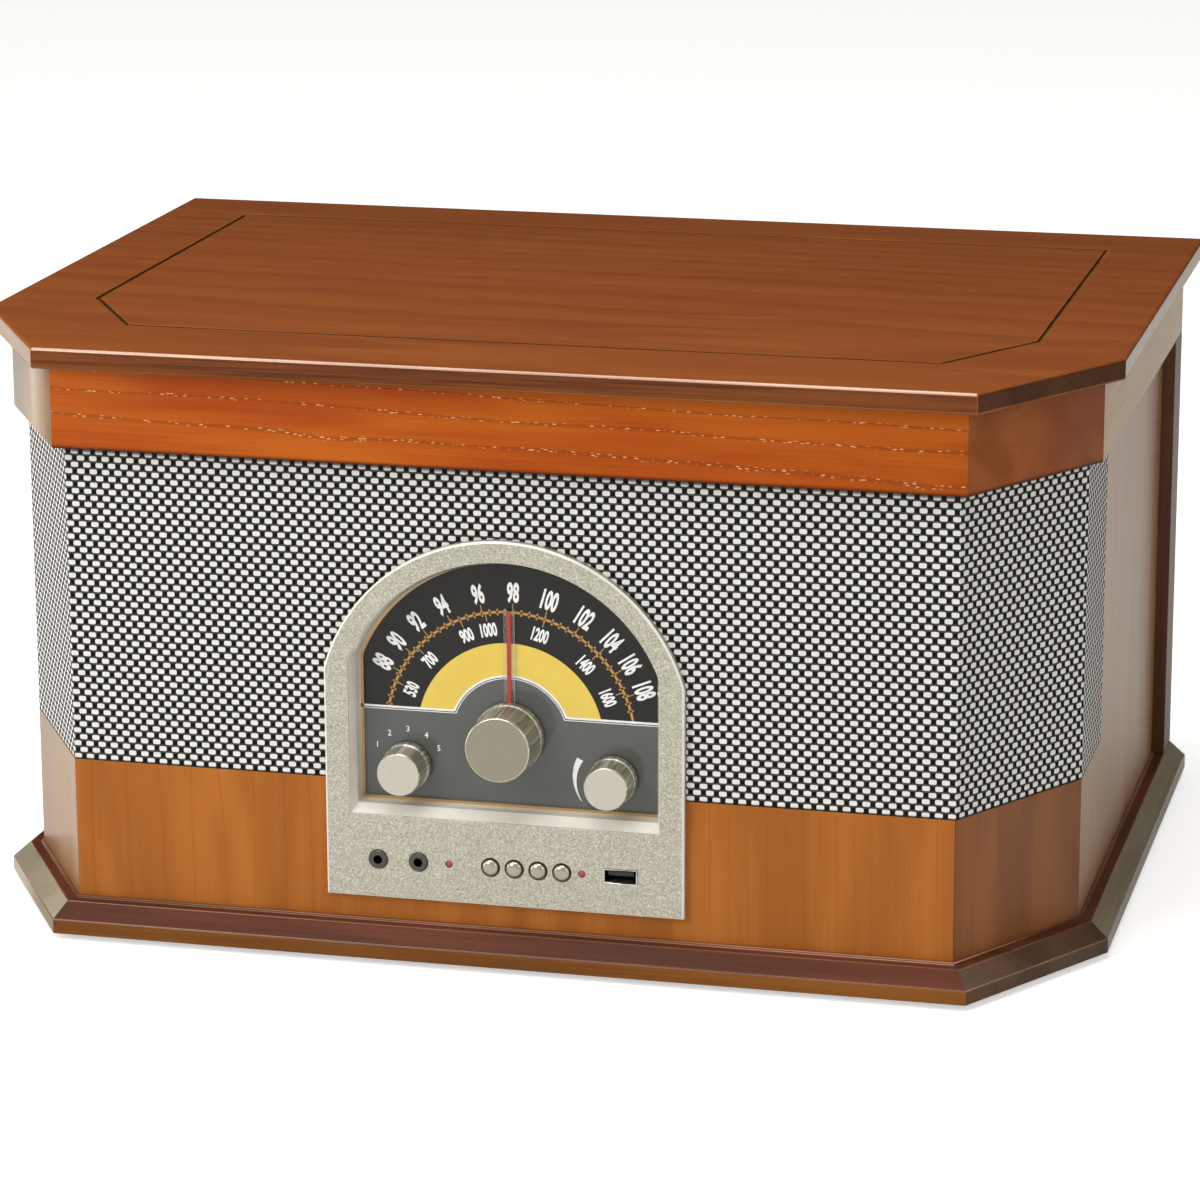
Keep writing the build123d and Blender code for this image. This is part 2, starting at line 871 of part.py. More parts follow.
def stay_track():
    """Angle strip under the lid with the slot that guides the link's pin."""
    far = 2 * stay_reach
    near = far * math.cos(math.radians(stay_open_angle))
    slot_half = stay_pin + stay_slot_play
    y_far, y_near = hinge_y - far, hinge_y - near
    low = hinge_z - stay_pin - 3.5
    web = block(stay_web_x, stay_web_x + stay_web, y_far - stay_track_end, y_near + stay_track_end, low,
                lid_bottom)
    flange = block(stay_web_x + stay_web - stay_flange_width, stay_web_x + stay_web,
                   y_far - stay_track_end, y_near + stay_track_end, lid_bottom - stay_web, lid_bottom)
    slot = SlotOverall(far - near + 2 * slot_half, 2 * slot_half)
    cut = Plane((stay_web_x - 1, (y_far + y_near) / 2, hinge_z), x_dir=(0, 1, 0), z_dir=(1, 0, 0)) * slot
    return web + flange - extrude(cut, stay_web + 2)


# Deck and drive

pulley_x = spindle_x + pulley_distance * math.cos(math.radians(pulley_angle))
pulley_y = spindle_y + pulley_distance * math.sin(math.radians(pulley_angle))


def cylinder(radius, x, y, z0, z1):
    return Pos(x, y, z0) * extrude(Circle(radius), z1 - z0)


def deck_screw_places():
    front, back = lid_front + board_inset + deck_screw_front, back_inner - deck_screw_rear
    front_x, rear_x = half_width - deck_screw_front_side, half_width - deck_screw_rear_side
    return [(-front_x, front), (front_x, front), (-rear_x, back), (rear_x, back)]


def deck_plate():
    """Moulded deck with a ring round the platter, a peg for the adapter and holes for what passes through."""
    plate = raised(plan(board_inset + deck_side_gap, back_inner - deck_side_gap), deck_seat, deck_top)
    ring_inner = platter_radius + deck_ring_gap
    ring = cylinder(ring_inner + deck_ring_width, spindle_x, spindle_y, deck_top, deck_top + deck_ring_height)
    ring = ring - cylinder(ring_inner, spindle_x, spindle_y, deck_top - 1, deck_top + deck_ring_height + 1)
    peg = cylinder(spindle_radius, control_x, adapter_y, deck_top, deck_top + adapter_peg_height)
    plate = plate + ring + peg
    low, high = deck_seat - 1, deck_top + 1
    plate = plate - cylinder(bearing_radius + gap, spindle_x, spindle_y, low, high)
    plate = plate - cylinder(pulley_radius + pulley_hole_gap, pulley_x, pulley_y, low, high)
    plate = plate - cylinder(arm_shaft + arm_hole_gap, pivot_x, pivot_y, low, high)
    plate = plate - cylinder(speed_shaft + running, control_x, speed_lever_y, low, high)
    return plate - raised(stop_slot(), low, high)


def stop_slot():
    """Outline of the slot that the stop's neck runs in."""
    return Pos(control_x, stop_switch_y) * Rectangle(stop_neck_width + 2 * gap,
                                                     stop_neck_length + stop_travel + 2 * gap)


def spindle_bearing():
    """Brass bush with a flange under the deck."""
    low, top = deck_seat - spindle_below_deck, platter_bottom - gap
    flange = deck_seat - bearing_flange_thickness
    r = spindle_shaft
    return turned([(r, low), (bearing_radius, low), (bearing_radius, flange), (bearing_flange, flange),
                   (bearing_flange, deck_seat), (bearing_radius, deck_seat), (bearing_radius, top),
                   (r, top)], spindle_x, spindle_y)


def spindle_pin():
    """Fixed steel spindle, a little thicker below the mat's top, with a rounded tip."""
    low, top = deck_seat - spindle_below_deck, mat_top + spindle_above_mat
    r, shoulder = spindle_radius, spindle_shaft - spindle_radius
    return turned([(0, low), (spindle_shaft, low), (spindle_shaft, mat_top - shoulder), (r, mat_top),
                   (r, top - spindle_round), (r - 0.5, top - 1.4), (r - 1.5, top - 0.4), (0, top)],
                  spindle_x, spindle_y)


def spindle():
    return group(spindle_pin(), spindle_bearing())


def platter():
    """Turned platter with a rim, a drive ring underneath for the belt and a hub."""
    under = platter_top - platter_top_thickness
    bore = spindle_shaft + running
    r = platter_radius
    return turned([
        (bore, platter_bottom), (platter_hub, platter_bottom), (platter_hub, under),
        (drive_radius - drive_wall, under), (drive_radius - drive_wall, platter_bottom + gap),
        (drive_radius, platter_bottom + gap), (drive_radius, under), (r - platter_rim, under),
        (r - platter_rim, platter_bottom), (r - 1, platter_bottom), (r, platter_bottom + 1),
        (r, platter_top - 1), (r - 1, platter_top), (bore, platter_top)], spindle_x, spindle_y)


def platter_mat():
    r = platter_radius - mat_inset
    bore = spindle_shaft + gap
    return turned([(bore, platter_top), (r, platter_top), (r, mat_top), (bore, mat_top)], spindle_x,
                  spindle_y)


def motor_pulley():
    """Crowned brass pulley with a flange above and below the belt, on the motor's shaft."""
    low = platter_bottom
    high = platter_top - platter_top_thickness - 2 * gap
    r, f = pulley_radius, pulley_flange
    pulley = turned([(motor_shaft, low), (r + f, low), (r + f, low + 0.6), (r - 0.3, low + 0.8),
                     (r, (low + high) / 2), (r - 0.3, high - 0.8), (r + f, high - 0.6), (r + f, high),
                     (motor_shaft, high)], pulley_x, pulley_y)
    shaft_bar = rod(motor_shaft, (pulley_x, pulley_y, motor_top - 8), (pulley_x, pulley_y, high))
    return group(pulley, shaft_bar)


motor_top = deck_seat - grommet_height - motor_plate_thickness


def turntable_motor():
    """Drawn motor can with a bearing boss, hung by a round plate from three grommets under the deck."""
    r, low = motor_radius, motor_top - motor_height
    bore, boss = motor_shaft + running, motor_top + motor_plate_thickness
    can = turned([(0, low), (r - 1.5, low), (r, low + 1.5), (r, motor_top - 1), (r - 1, motor_top),
                  (motor_boss, motor_top), (motor_boss, boss), (bore, boss), (bore, motor_top - 8.5),
                  (0, motor_top - 8.5)], pulley_x, pulley_y)
    plate = cylinder(motor_plate_radius, pulley_x, pulley_y, motor_top, boss)
    plate = plate - cylinder(motor_boss, pulley_x, pulley_y, motor_top - 1, boss + 1)
    grommets = []
    for n in range(3):
        a = math.radians(90 + 120 * n)
        x, y = pulley_x + grommet_circle * math.cos(a), pulley_y + grommet_circle * math.sin(a)
        grommets.append(cylinder(grommet_radius, x, y, boss, deck_seat))
    return group(can, plate, *grommets)


def belt_outline(grow):
    """The loop round the drive ring and the pulley: two arcs and their outer tangents."""
    big, small = drive_radius + gap + grow, pulley_radius + gap + grow
    lead = math.acos((big - small) / pulley_distance)
    turn = math.radians(pulley_angle)

    def on(cx, cy, r, a):
        return (cx + r * math.cos(turn + a), cy + r * math.sin(turn + a))

    a1, a2 = on(spindle_x, spindle_y, big, lead), on(spindle_x, spindle_y, big, -lead)
    b1, b2 = on(pulley_x, pulley_y, small, lead), on(pulley_x, pulley_y, small, -lead)
    far, near = on(spindle_x, spindle_y, big, math.pi), on(pulley_x, pulley_y, small, 0)
    return make_face([ThreePointArc(a1, far, a2), Line(a2, b2), ThreePointArc(b2, near, b1), Line(b1, a1)])


def drive_belt():
    z0 = platter_bottom + 1.2
    return raised(belt_outline(belt_thickness) - belt_outline(0), z0, z0 + belt_height)


# Tonearm

def pedestal():
    """Round pedestal with the bearing of the arm."""
    bore = arm_shaft + running
    return turned([(bore, deck_top), (arm_base_radius, deck_top),
                   (arm_base_radius, deck_top + arm_base_flange - 1),
                   (arm_base_radius - 1, deck_top + arm_base_flange),
                   (arm_column, deck_top + arm_base_flange), (arm_column - 1.5, column_top - 3),
                   (arm_column - 3.5, column_top), (bore, column_top)], pivot_x, pivot_y)


def tonearm_yoke():
    """Turning fork with its stem in the pedestal and two ears, and the axle fixed in them."""
    foot, disc = column_top + gap, column_top + gap + yoke_disc_height
    x0 = gimbal_width / 2 + gap
    ear_top = tube_z + 4.5
    yoke = cylinder(yoke_disc + 1, pivot_x, pivot_y, foot, disc)
    yoke = yoke + cylinder(arm_shaft, pivot_x, pivot_y, deck_top + 1, foot)
    for side in (-1, 1):
        xa, xb = sorted((pivot_x + side * x0, pivot_x + side * (x0 + yoke_ear)))
        ear = block(xa, xb, pivot_y - yoke_ear_depth / 2, pivot_y + yoke_ear_depth / 2, disc - 0.1, ear_top)
        yoke = yoke + fillet(ear.edges().filter_by(Axis.X).group_by(Axis.Z)[-1], 3.5)
    reach = x0 + yoke_ear
    axle = rod(arm_axle, (pivot_x - reach, pivot_y, tube_z), (pivot_x + reach, pivot_y, tube_z))
    return group(yoke - axle, axle)


def tonearm_gimbal():
    """Block between the ears that holds the tube and turns on the axle."""
    w, l, h = gimbal_width / 2, gimbal_length / 2, gimbal_height / 2
    body = block(pivot_x - w, pivot_x + w, pivot_y - l, pivot_y + l, tube_z - h, tube_z + h)
    body = fillet(body.edges().filter_by(Axis.Y), 2.5)
    return body - rod(arm_axle + running, (pivot_x - 20, pivot_y, tube_z), (pivot_x + 20, pivot_y, tube_z))


def tonearm_tube():
    """The tube in front of the gimbal and the stub behind it that carries the weight."""
    front, end = pivot_y - arm_joint_distance, pivot_y + weight_distance + weight_length + stub_end
    tube = rod(arm_tube, (pivot_x, pivot_y - gimbal_length / 2, tube_z), (pivot_x, front, tube_z))
    stub = rod(arm_tube, (pivot_x, pivot_y + gimbal_length / 2, tube_z), (pivot_x, end, tube_z))
    return group(tube, stub)


def counterweight():
    """Turned weight with a knurled-look grip ring and a bored centre."""
    a = pivot_y + weight_distance
    b = a + weight_length
    r = weight_radius
    return turned_forward([(arm_tube, a), (r - 3, a), (r - 1.5, a + 1.5), (r - 1.5, a + 5), (r, a + 6),
                           (r, b - 1), (r - 1, b), (arm_tube, b)],
                          pivot_x, tube_z)


def on_head(piece):
    """Places a piece drawn along -Y from the head's joint, turned in towards the record."""
    return Pos(pivot_x, pivot_y - arm_joint_distance, 0) * Rot(0, 0, -head_offset_angle) * piece


def headshell():
    """Tapered shell with a neck on the tube and a finger lift at its side."""
    b, f, n = head_back_width / 2, head_front_width / 2, head_length
    outline = Polyline((-b, 0), (-f, -9), (-f, -n + 4), (-f + 3, -n), (f - 3, -n), (f, -n + 4), (f, -9),
                       (b, 0), close=True)
    shell = raised(make_face(outline), tube_z - 0.6, tube_z - 0.6 + head_thickness)
    shell = chamfer(shell.edges().group_by(Axis.Z)[-1], 0.8)
    shell = shell + rod(head_neck, (0, 0, tube_z), (0, -head_neck_length, tube_z))
    lift = block(f - 0.5, f + 9, -n + 5, -n + 9, tube_z - 0.4, tube_z + 0.8)
    lift = lift + block(f + 7.8, f + 9, -n + 5, -n + 9, tube_z - 0.4, tube_z + 3.6)
    joint_y = pivot_y - arm_joint_distance
    tube_end = rod(arm_tube, (pivot_x, joint_y + head_length, tube_z), (pivot_x, joint_y, tube_z))
    return on_head(shell + lift) - tube_end


def cartridge():
    """Moulded pickup body, sloped at its nose."""
    w, top = cartridge_width / 2, tube_z - 0.6
    low = top - cartridge_height
    start, end = -stylus_reach + cartridge_length * 0.62, -stylus_reach - cartridge_length * 0.38
    side = Polyline((start, top), (start, low + 2.5), (start - 4, low), (end + 3, low), (end, low + 4),
                    (end, top), close=True)
    face = Plane((-w, 0, 0), x_dir=(0, 1, 0), z_dir=(1, 0, 0)) * make_face(side)
    return on_head(extrude(face, cartridge_width))


def stylus():
    """Stylus holder clipped under the pickup, with its cantilever and tip."""
    low = tube_z - 0.6 - cartridge_height
    holder = block(-2.6, 2.6, -stylus_reach - 4, -stylus_reach + 8, low - 2.2, low)
    holder = chamfer(holder.edges().filter_by(Axis.X).group_by(Axis.Z)[0], 1.6)
    arm = rod(0.5, (0, -stylus_reach + 3, low - 1.4), (0, -stylus_reach, stylus_tip + 0.9))
    tip = Pos(0, -stylus_reach, 0) * turned([(0, stylus_tip), (0.6, stylus_tip + 1.3), (0, stylus_tip + 1.3)])
    return on_head(holder + arm + tip)


def arm_rest():
    """Post with a cradle under the tube, walled on its outer side and open towards the record."""
    y = pivot_y - rest_distance
    top = cue_top
    post = turned([(0, deck_top), (rest_base, deck_top), (rest_base, deck_top + 1.5),
                   (rest_column, deck_top + 4), (rest_column, top - rest_block), (0, top - rest_block)],
                  pivot_x, y)
    seat = block(pivot_x - 5, pivot_x + arm_tube + gap + rest_wall, y - 4, y + 4, top - rest_block, top)
    wall = block(pivot_x + arm_tube + gap, pivot_x + arm_tube + gap + rest_wall, y - 4, y + 4, top - 0.5,
                 top + rest_wall_rise)
    return post + seat + wall


# Cueing

cue_middle = math.radians((cue_first_angle + cue_last_angle) / 2)
cue_x = pivot_x + cue_radius * math.cos(cue_middle)
cue_y = pivot_y + cue_radius * math.sin(cue_middle)


def cue_bar():
    """Curved bar under the arm, on a plunger that slides in its tower."""
    inner, outer = cue_radius - cue_bar_width / 2, cue_radius + cue_bar_width / 2
    a, b = math.radians(cue_first_angle), math.radians(cue_last_angle)

    def at(r, angle):
        return (pivot_x + r * math.cos(angle), pivot_y + r * math.sin(angle))

    face = make_face([
        ThreePointArc(at(outer, a), at(outer, cue_middle), at(outer, b)), Line(at(outer, b), at(inner, b)),
        ThreePointArc(at(inner, b), at(inner, cue_middle), at(inner, a)), Line(at(inner, a), at(outer, a))])
    bar = raised(face, cue_top - cue_bar_height, cue_top)
    stem = cylinder(cue_plunger, cue_x, cue_y, deck_top + cue_travel + 1.5, cue_top - cue_bar_height)
    return bar + stem


def cue_housing():
    """Tower with the bore of the plunger, beside the pedestal."""
    top = cue_top - cue_bar_height - cue_travel - 1.5
    bore = cue_plunger + running
    return turned([(bore, deck_top), (cue_tower + 1, deck_top), (cue_tower + 1, deck_top + 1.5),
                   (cue_tower, deck_top + 2.5), (cue_tower, top - 1), (cue_tower - 1, top), (bore, top)],
                  cue_x, cue_y)


def tonearm_base():
    return group(pedestal(), cue_housing(), cue_lever_block())


lever_x = pivot_x + cue_lever_x
lever_y = pivot_y + cue_lever_y
lever_z = deck_top + cue_lever_height


def cue_lever_block():
    """Bearing block of the cueing lever."""
    half = cue_block_width
    piece = block(lever_x - cue_block_width - gap, lever_x - gap, lever_y - half, lever_y + half, deck_top,
                  lever_z + 4)
    piece = fillet(piece.edges().filter_by(Axis.X).group_by(Axis.Z)[-1], 3)
    return piece - rod(cue_shaft + running, (lever_x - 20, lever_y, lever_z),
                       (lever_x + 20, lever_y, lever_z))


def cue_lever():
    """Lever on its shaft, raised at rest."""
    thick = 2.6
    arm = SlotCenterToCenter(cue_lever_length, cue_lever_width)
    turn = math.radians(cue_lever_rest_angle)
    middle = (lever_x, lever_y - cue_lever_length / 2 * math.cos(turn),
              lever_z + cue_lever_length / 2 * math.sin(turn))
    face = Plane(middle, x_dir=(0, -math.cos(turn), math.sin(turn)), z_dir=(1, 0, 0)) * arm
    shaft = rod(cue_shaft, (lever_x - cue_block_width - 2 * gap, lever_y, lever_z),
                (lever_x, lever_y, lever_z))
    return extrude(face, thick) + shaft


# Deck controls

def speed_lever():
    """Turning lever with a raised grip, on a stem through the deck."""
    z0 = deck_top + gap
    hub = cylinder(speed_hub, control_x, speed_lever_y, z0, z0 + speed_lever_thickness)
    tip_y = speed_lever_y - speed_lever_length
    arm = Polyline((control_x - 4, speed_lever_y), (control_x - 2.2, tip_y), (control_x + 2.2, tip_y),
                   (control_x + 4, speed_lever_y), close=True)
    grip = turned([(0, z0), (speed_grip, z0), (speed_grip - 0.6, z0 + 7), (speed_grip - 1.4, z0 + 8),
                   (0, z0 + 8)], control_x, tip_y)
    stem = cylinder(speed_shaft, control_x, speed_lever_y, deck_seat - speed_stem, z0)
    return hub + raised(make_face(arm), z0, z0 + speed_lever_thickness) + grip + stem


def speed_switch():
    """Rotary switch under the deck that the speed lever turns."""
    w, d = speed_body_half, speed_body_depth
    body = block(control_x - w, control_x + w, speed_lever_y - d, speed_lever_y + d,
                 deck_seat - speed_body_height, deck_seat)
    return body - cylinder(speed_shaft + running, control_x, speed_lever_y, deck_seat - speed_stem - gap,
                           deck_seat + 1)


def stop_switch_cap():
    """Sliding cap of the automatic stop, at the front end of its slot."""
    z0 = deck_top + gap
    place = Pos(control_x, stop_switch_y - stop_travel / 2)
    cap = raised(place * Rectangle(stop_cap_width, stop_cap_length), z0, z0 + stop_cap_height)
    cap = chamfer(cap.edges().group_by(Axis.Z)[-1], stop_cap_edge)
    return cap + raised(place * Rectangle(stop_neck_width, stop_neck_length), deck_seat - stop_neck_reach, z0)


def stop_switch_body():
    """Slide switch under the deck that the stop's neck moves."""
    w, d = stop_body_half, stop_body_end
    body = block(control_x - w, control_x + w, stop_switch_y - d, stop_switch_y + d,
                 deck_seat - stop_body_height, deck_seat)
    return body - raised(stop_slot(), deck_seat - stop_neck_reach - gap, deck_seat + 1)


def deck_switches():
    return group(speed_switch(), stop_switch_body())


def record_adapter():
    """Disc that fills the large hole of a single, kept on its peg."""
    r, z0 = adapter_radius, deck_top
    bore = spindle_radius + running
    return turned([(bore, z0), (r - 2, z0), (r - 2, z0 + 1), (r, z0 + 1), (r, z0 + 2),
                   (r - 2, z0 + adapter_height - 1), (9, z0 + adapter_height),
                   (8, z0 + adapter_height - 2), (bore, z0 + adapter_height - 2)], control_x, adapter_y)


# Dial

strip_places = [first_button_x + n * button_pitch for n in range(4)]


def bezel():
    """Arched front with a window tunnel that reaches back to the dial, and the holes of the control strip."""
    plate = fronted(bezel_outline(), bezel_face, body_front)
    plate = chamfer(plate.edges().group_by(Axis.Y)[0], bezel_edge)
    tunnel = fronted(window_outline(tunnel_wall), body_front - 0.5, dial_face)
    body = plate + tunnel - fronted(window_outline(), bezel_face - 1, dial_face + 1)
    for x, radius in ((headphone_x, jack_collar), (aux_x, jack_collar), (power_led_x, led_radius),
                      (record_led_x, led_radius)):
        body = body - fronted(Pos(x, strip_z) * Circle(radius + 0.1), bezel_face - 1, body_front + 1)
    for x in strip_places:
        body = body - fronted(Pos(x, strip_z) * Circle(button_radius + button_hole_gap), bezel_face - 1,
                              body_front + 1)
    return body - fronted(Pos(usb_x, strip_z) * Rectangle(usb_width + 0.2, usb_height + 0.2),
                          bezel_face - 1, body_front + 1)


def window_trim():
    """Bright frame inside the window, sloped in from its front edge, deepest along the bottom."""
    front = bezel_face + trim_recess
    ring = fronted(window_outline(), front, dial_face)
    slope_end = front + trim_slope
    plane_front = Plane((0, front, 0), x_dir=(1, 0, 0), z_dir=(0, -1, 0))
    plane_back = Plane((0, slope_end, 0), x_dir=(1, 0, 0), z_dir=(0, -1, 0))
    mouth = loft([plane_front * window_outline(-0.25),
                  plane_back * window_outline(-trim_wall, trim_lip - trim_wall)], ruled=True)
    throat = fronted(window_outline(-trim_wall, trim_lip - trim_wall), slope_end - 0.01, dial_face + 1)
    return ring - mouth - throat


def dial_plate():
    """Printed plate behind the window, bored for the three shafts."""
    plate = fronted(window_outline(dial_margin), dial_face, dial_face + dial_thickness)
    for x, z in ((0, dial_axis_z), (-small_knob_x, small_knob_z), (small_knob_x, small_knob_z)):
        plate = plate - fronted(Pos(x, z) * Circle(bush_radius + 0.2), dial_face - 1,
                                dial_face + dial_thickness + 1)
    return plate


def knob(radius, face, x, z, mark_angle):
    """Turned knob with a skirt, a bevelled face and a small sunk mark."""
    front, back = bezel_face - face, dial_face - knob_lift
    skirt_top = back - knob_skirt_height
    points = [(knob_shaft, back), (radius + knob_skirt, back), (radius + knob_skirt, skirt_top),
              (radius, skirt_top - knob_skirt), (radius - 0.25, front + knob_edge),
              (radius - knob_edge, front), (0, front), (0, front + knob_front_wall),
              (knob_shaft, front + knob_front_wall)]
    body = turned_forward(points, x, z)
    if mark_angle is None:
        return body
    a = math.radians(mark_angle)
    reach = radius - knob_mark_inset
    px, pz = x + reach * math.sin(a), z + reach * math.cos(a)
    return body - rod(knob_mark_radius, (px, front - 1, pz), (px, front + knob_mark_depth, pz))


control_plate_y = dial_face + dial_thickness + control_plate_distance


def shaft(x, z, face):
    """Control shaft from its component to the inside of its knob."""
    return rod(knob_shaft, (x, control_plate_y + shaft_depth, z), (x, bezel_face - face + knob_front_wall, z))


def tuning_knob():
    """The large knob on its shaft."""
    turned_knob = knob(tuning_knob_radius, tuning_knob_face, 0, dial_axis_z, None)
    return group(turned_knob, shaft(0, dial_axis_z, tuning_knob_face))


def small_knob(x, mark_angle):
    """A small knob on its shaft."""
    turned_knob = knob(small_knob_radius, small_knob_face, x, small_knob_z, mark_angle)
    return group(turned_knob, shaft(x, small_knob_z, small_knob_face))


def selector_knob():
    return small_knob(-small_knob_x, selector_mark_angle)


def volume_knob():
    return small_knob(small_knob_x, volume_mark_angle)


def dial_pointer():
    """Clear strip that turns with the tuning knob, on a hub behind it."""
    y_back = dial_face - pointer_lift
    strip = Pos(0, dial_axis_z + pointer_length / 2) * Rectangle(pointer_width, pointer_length)
    hub = Pos(0, dial_axis_z) * Circle(pointer_hub)
    flat = hub + strip - Pos(0, dial_axis_z) * Circle(knob_shaft)
    return fronted(flat, y_back - pointer_thickness, y_back)


def round_control(x):
    """A switch or volume control behind its plate, with the threaded bush that holds its shaft."""
    front, step = control_plate_y - bush_length, control_plate_y + control_plate_thickness
    back, floor = step + control_depth, control_plate_y + shaft_depth + gap
    bore = knob_shaft + running
    return turned_forward([(bore, front), (bush_radius, front), (bush_radius, step), (control_radius, step),
                           (control_radius, back), (0, back), (0, floor), (bore, floor)], x, small_knob_z)


def tuning_capacitor():
    """Square tuning capacitor behind the middle of the dial."""
    front, step = control_plate_y - bush_length, control_plate_y + control_plate_thickness
    half = capacitor_side / 2
    body = block(-half, half, step, step + capacitor_depth, dial_axis_z - half, dial_axis_z + half)
    bush = fronted(Pos(0, dial_axis_z) * Circle(bush_radius), front, step)
    bore = fronted(Pos(0, dial_axis_z) * Circle(knob_shaft + running), front - 1,
                   control_plate_y + shaft_depth + gap)
    return body + bush - bore


def control_plate():
    """Folded steel plate that carries the controls and is screwed behind the front board."""
    x = window_half_width + tunnel_wall + control_plate_margin
    z0 = small_knob_z - control_radius - control_plate_edge
    z1 = dial_axis_z + capacitor_side / 2 + control_plate_edge
    t = control_plate_thickness
    plate = block(-x, x, control_plate_y, control_plate_y + t, z0, z1)
    for side in (-1, 1):
        a, b = sorted((side * x, side * (x - t)))
        plate = plate + block(a, b, board_back, control_plate_y + t, z0, z1)
        a, b = sorted((side * x, side * (x + control_plate_foot)))
        plate = plate + block(a, b, board_back, board_back + t, z0, z1)
    for px, pz in ((0, dial_axis_z), (-small_knob_x, small_knob_z), (small_knob_x, small_knob_z)):
        plate = plate - fronted(Pos(px, pz) * Circle(bush_radius), control_plate_y - 1,
                                control_plate_y + t + 1)
    return plate


def control_group():
    """The plate with the switch, the volume control and the tuning capacitor."""
    return group(control_plate(), round_control(-small_knob_x), round_control(small_knob_x),
                 tuning_capacitor())


# Front control strip

def strip_board():
    """Circuit board behind the control strip, screwed to the front board."""
    flat = Pos(0, strip_z) * Rectangle(2 * strip_board_half_width, strip_board_height)
    return fronted(flat, board_back, board_back + board_thickness)


def jack(x):
    """Socket with a bright collar through the bezel and a body on the circuit board."""
    front = bezel_face - jack_proud
    step = body_front + 0.4
    return turned_forward([(jack_bore, front), (jack_collar - 0.5, front), (jack_collar, front + 0.5),
                           (jack_collar, step), (jack_body, step), (jack_body, board_back),
                           (0, board_back), (0, front + jack_depth), (jack_bore, front + jack_depth)], x,
                          strip_z)


def indicator(x):
    """Small round lamp with a domed end."""
    front = bezel_face - led_proud
    r = led_radius
    return turned_forward([(0, front), (r * 0.6, front + 0.3), (r, front + 1.0), (r, board_back),
                           (0, board_back)], x, strip_z)


def indicator_lamps():
    return group(indicator(power_led_x), indicator(record_led_x))


def push_button(x):
    """Round button with a flange behind the bezel and a stem that reaches its switch."""
    front = bezel_face - button_proud
    r = button_radius
    flange = body_front + gap
    stem_end = board_back - button_switch_height - button_travel - 0.1
    return turned_forward([(0, front), (r * 0.5, front + 0.15), (r - 0.5, front + 0.6), (r, front + 1.2),
                           (r, flange), (button_flange, flange),
                           (button_flange, flange + button_flange_thickness),
                           (button_stem, flange + button_flange_thickness), (button_stem, stem_end),
                           (0, stem_end)], x, strip_z)


def strip_group():
    """The circuit board and its four small switches, one behind each button."""
    y0, half = board_back - button_switch_height, switch_side / 2
    switches = [block(x - half, x + half, y0, board_back, strip_z - half, strip_z + half)
                for x in strip_places]
    return group(strip_board(), *switches)


def usb_socket():
    """Bright shell with the tongue of its contacts."""
    front = bezel_face - usb_proud
    outer = Pos(usb_x, strip_z) * Rectangle(usb_width, usb_height)
    inner = Pos(usb_x, strip_z) * Rectangle(usb_width - 2 * usb_shell, usb_height - 2 * usb_shell)
    tongue = block(usb_x - usb_width / 2 + 1.6, usb_x + usb_width / 2 - 1.6, front + 1.5,
                   front + usb_depth + 0.5, strip_z + 0.1, strip_z + 0.1 + usb_tongue)
    return fronted(outer, front, board_back) - fronted(inner, front - 1, front + usb_depth) + tongue


def front_sockets():
    return group(jack(headphone_x), jack(aux_x), usb_socket())


# Inside the cabinet

def main_board():
    """Circuit board on four standoffs, with its capacitors."""
    x0, x1 = main_board_x - main_board_width / 2, main_board_x + main_board_width / 2
    y0, y1 = main_board_y - main_board_depth / 2, main_board_y + main_board_depth / 2
    low = plinth_top + standoff_height
    top = low + board_thickness
    board = block(x0, x1, y0, y1, low, top)
    for x in (x0 + standoff_inset, x1 - standoff_inset):
        for y in (y0 + standoff_inset, y1 - standoff_inset):
            board = board + cylinder(standoff_radius, x, y, plinth_top, low)
    for n in range(1, 4):
        board = board + cylinder(capacitor_radius, x0 + n * capacitor_pitch, y1 - capacitor_inset, top,
                                 top + capacitor_height)
    return board


def heat_sink():
    """Finned aluminium block beside the amplifier."""
    x0, y0 = main_board_x + sink_x, main_board_y - sink_y
    z0 = plinth_top + standoff_height + board_thickness
    x1, y1 = x0 + (sink_fins - 1) * sink_fin_pitch + sink_plate, y0 + sink_plate
    sink = block(x0, x1, y0, y1, z0, z0 + sink_height)
    for n in range(sink_fins):
        x = x0 + n * sink_fin_pitch
        sink = sink + block(x, x + sink_plate, y1 - 0.1, y1 + sink_fin_length, z0, z0 + sink_height)
    return sink


def amplifier_board():
    return group(main_board(), heat_sink())


def transformer_core():
    """Laminated core with mounting ears."""
    x, y, w, d, h = transformer_x, transformer_y, transformer_width, transformer_depth, transformer_height
    z0 = plinth_top
    core = block(x - w / 2, x + w / 2, y - d / 4, y + d / 4, z0, z0 + h)
    for side in (-1, 1):
        window = block(x + side * w / 4 - w / 12, x + side * w / 4 + w / 12, y - d, y + d, z0 + h / 5,
                       z0 + h * 4 / 5)
        core = core - window
    a = w / 2 + transformer_ear
    return core + block(x - a, x + a, y - d / 4, y + d / 4, z0, z0 + transformer_ear_thickness)


def transformer_coil():
    """Winding on its bobbin round the core's middle leg."""
    x, y, w, d, h = transformer_x, transformer_y, transformer_width, transformer_depth, transformer_height
    z0 = plinth_top
    leg = w / 4 - w / 12
    out = w / 4 + w / 12 - gap
    low, high = z0 + h / 5 + gap, z0 + h * 4 / 5 - gap
    body = block(x - out, x + out, y - d / 4 - coil_bulge, y + d / 4 + coil_bulge, low, high)
    body = fillet(body.edges().filter_by(Axis.Z), coil_round)
    return body - block(x - leg, x + leg, y - d / 4, y + d / 4, z0, z0 + h)


def mains_transformer():
    return group(transformer_core(), transformer_coil())


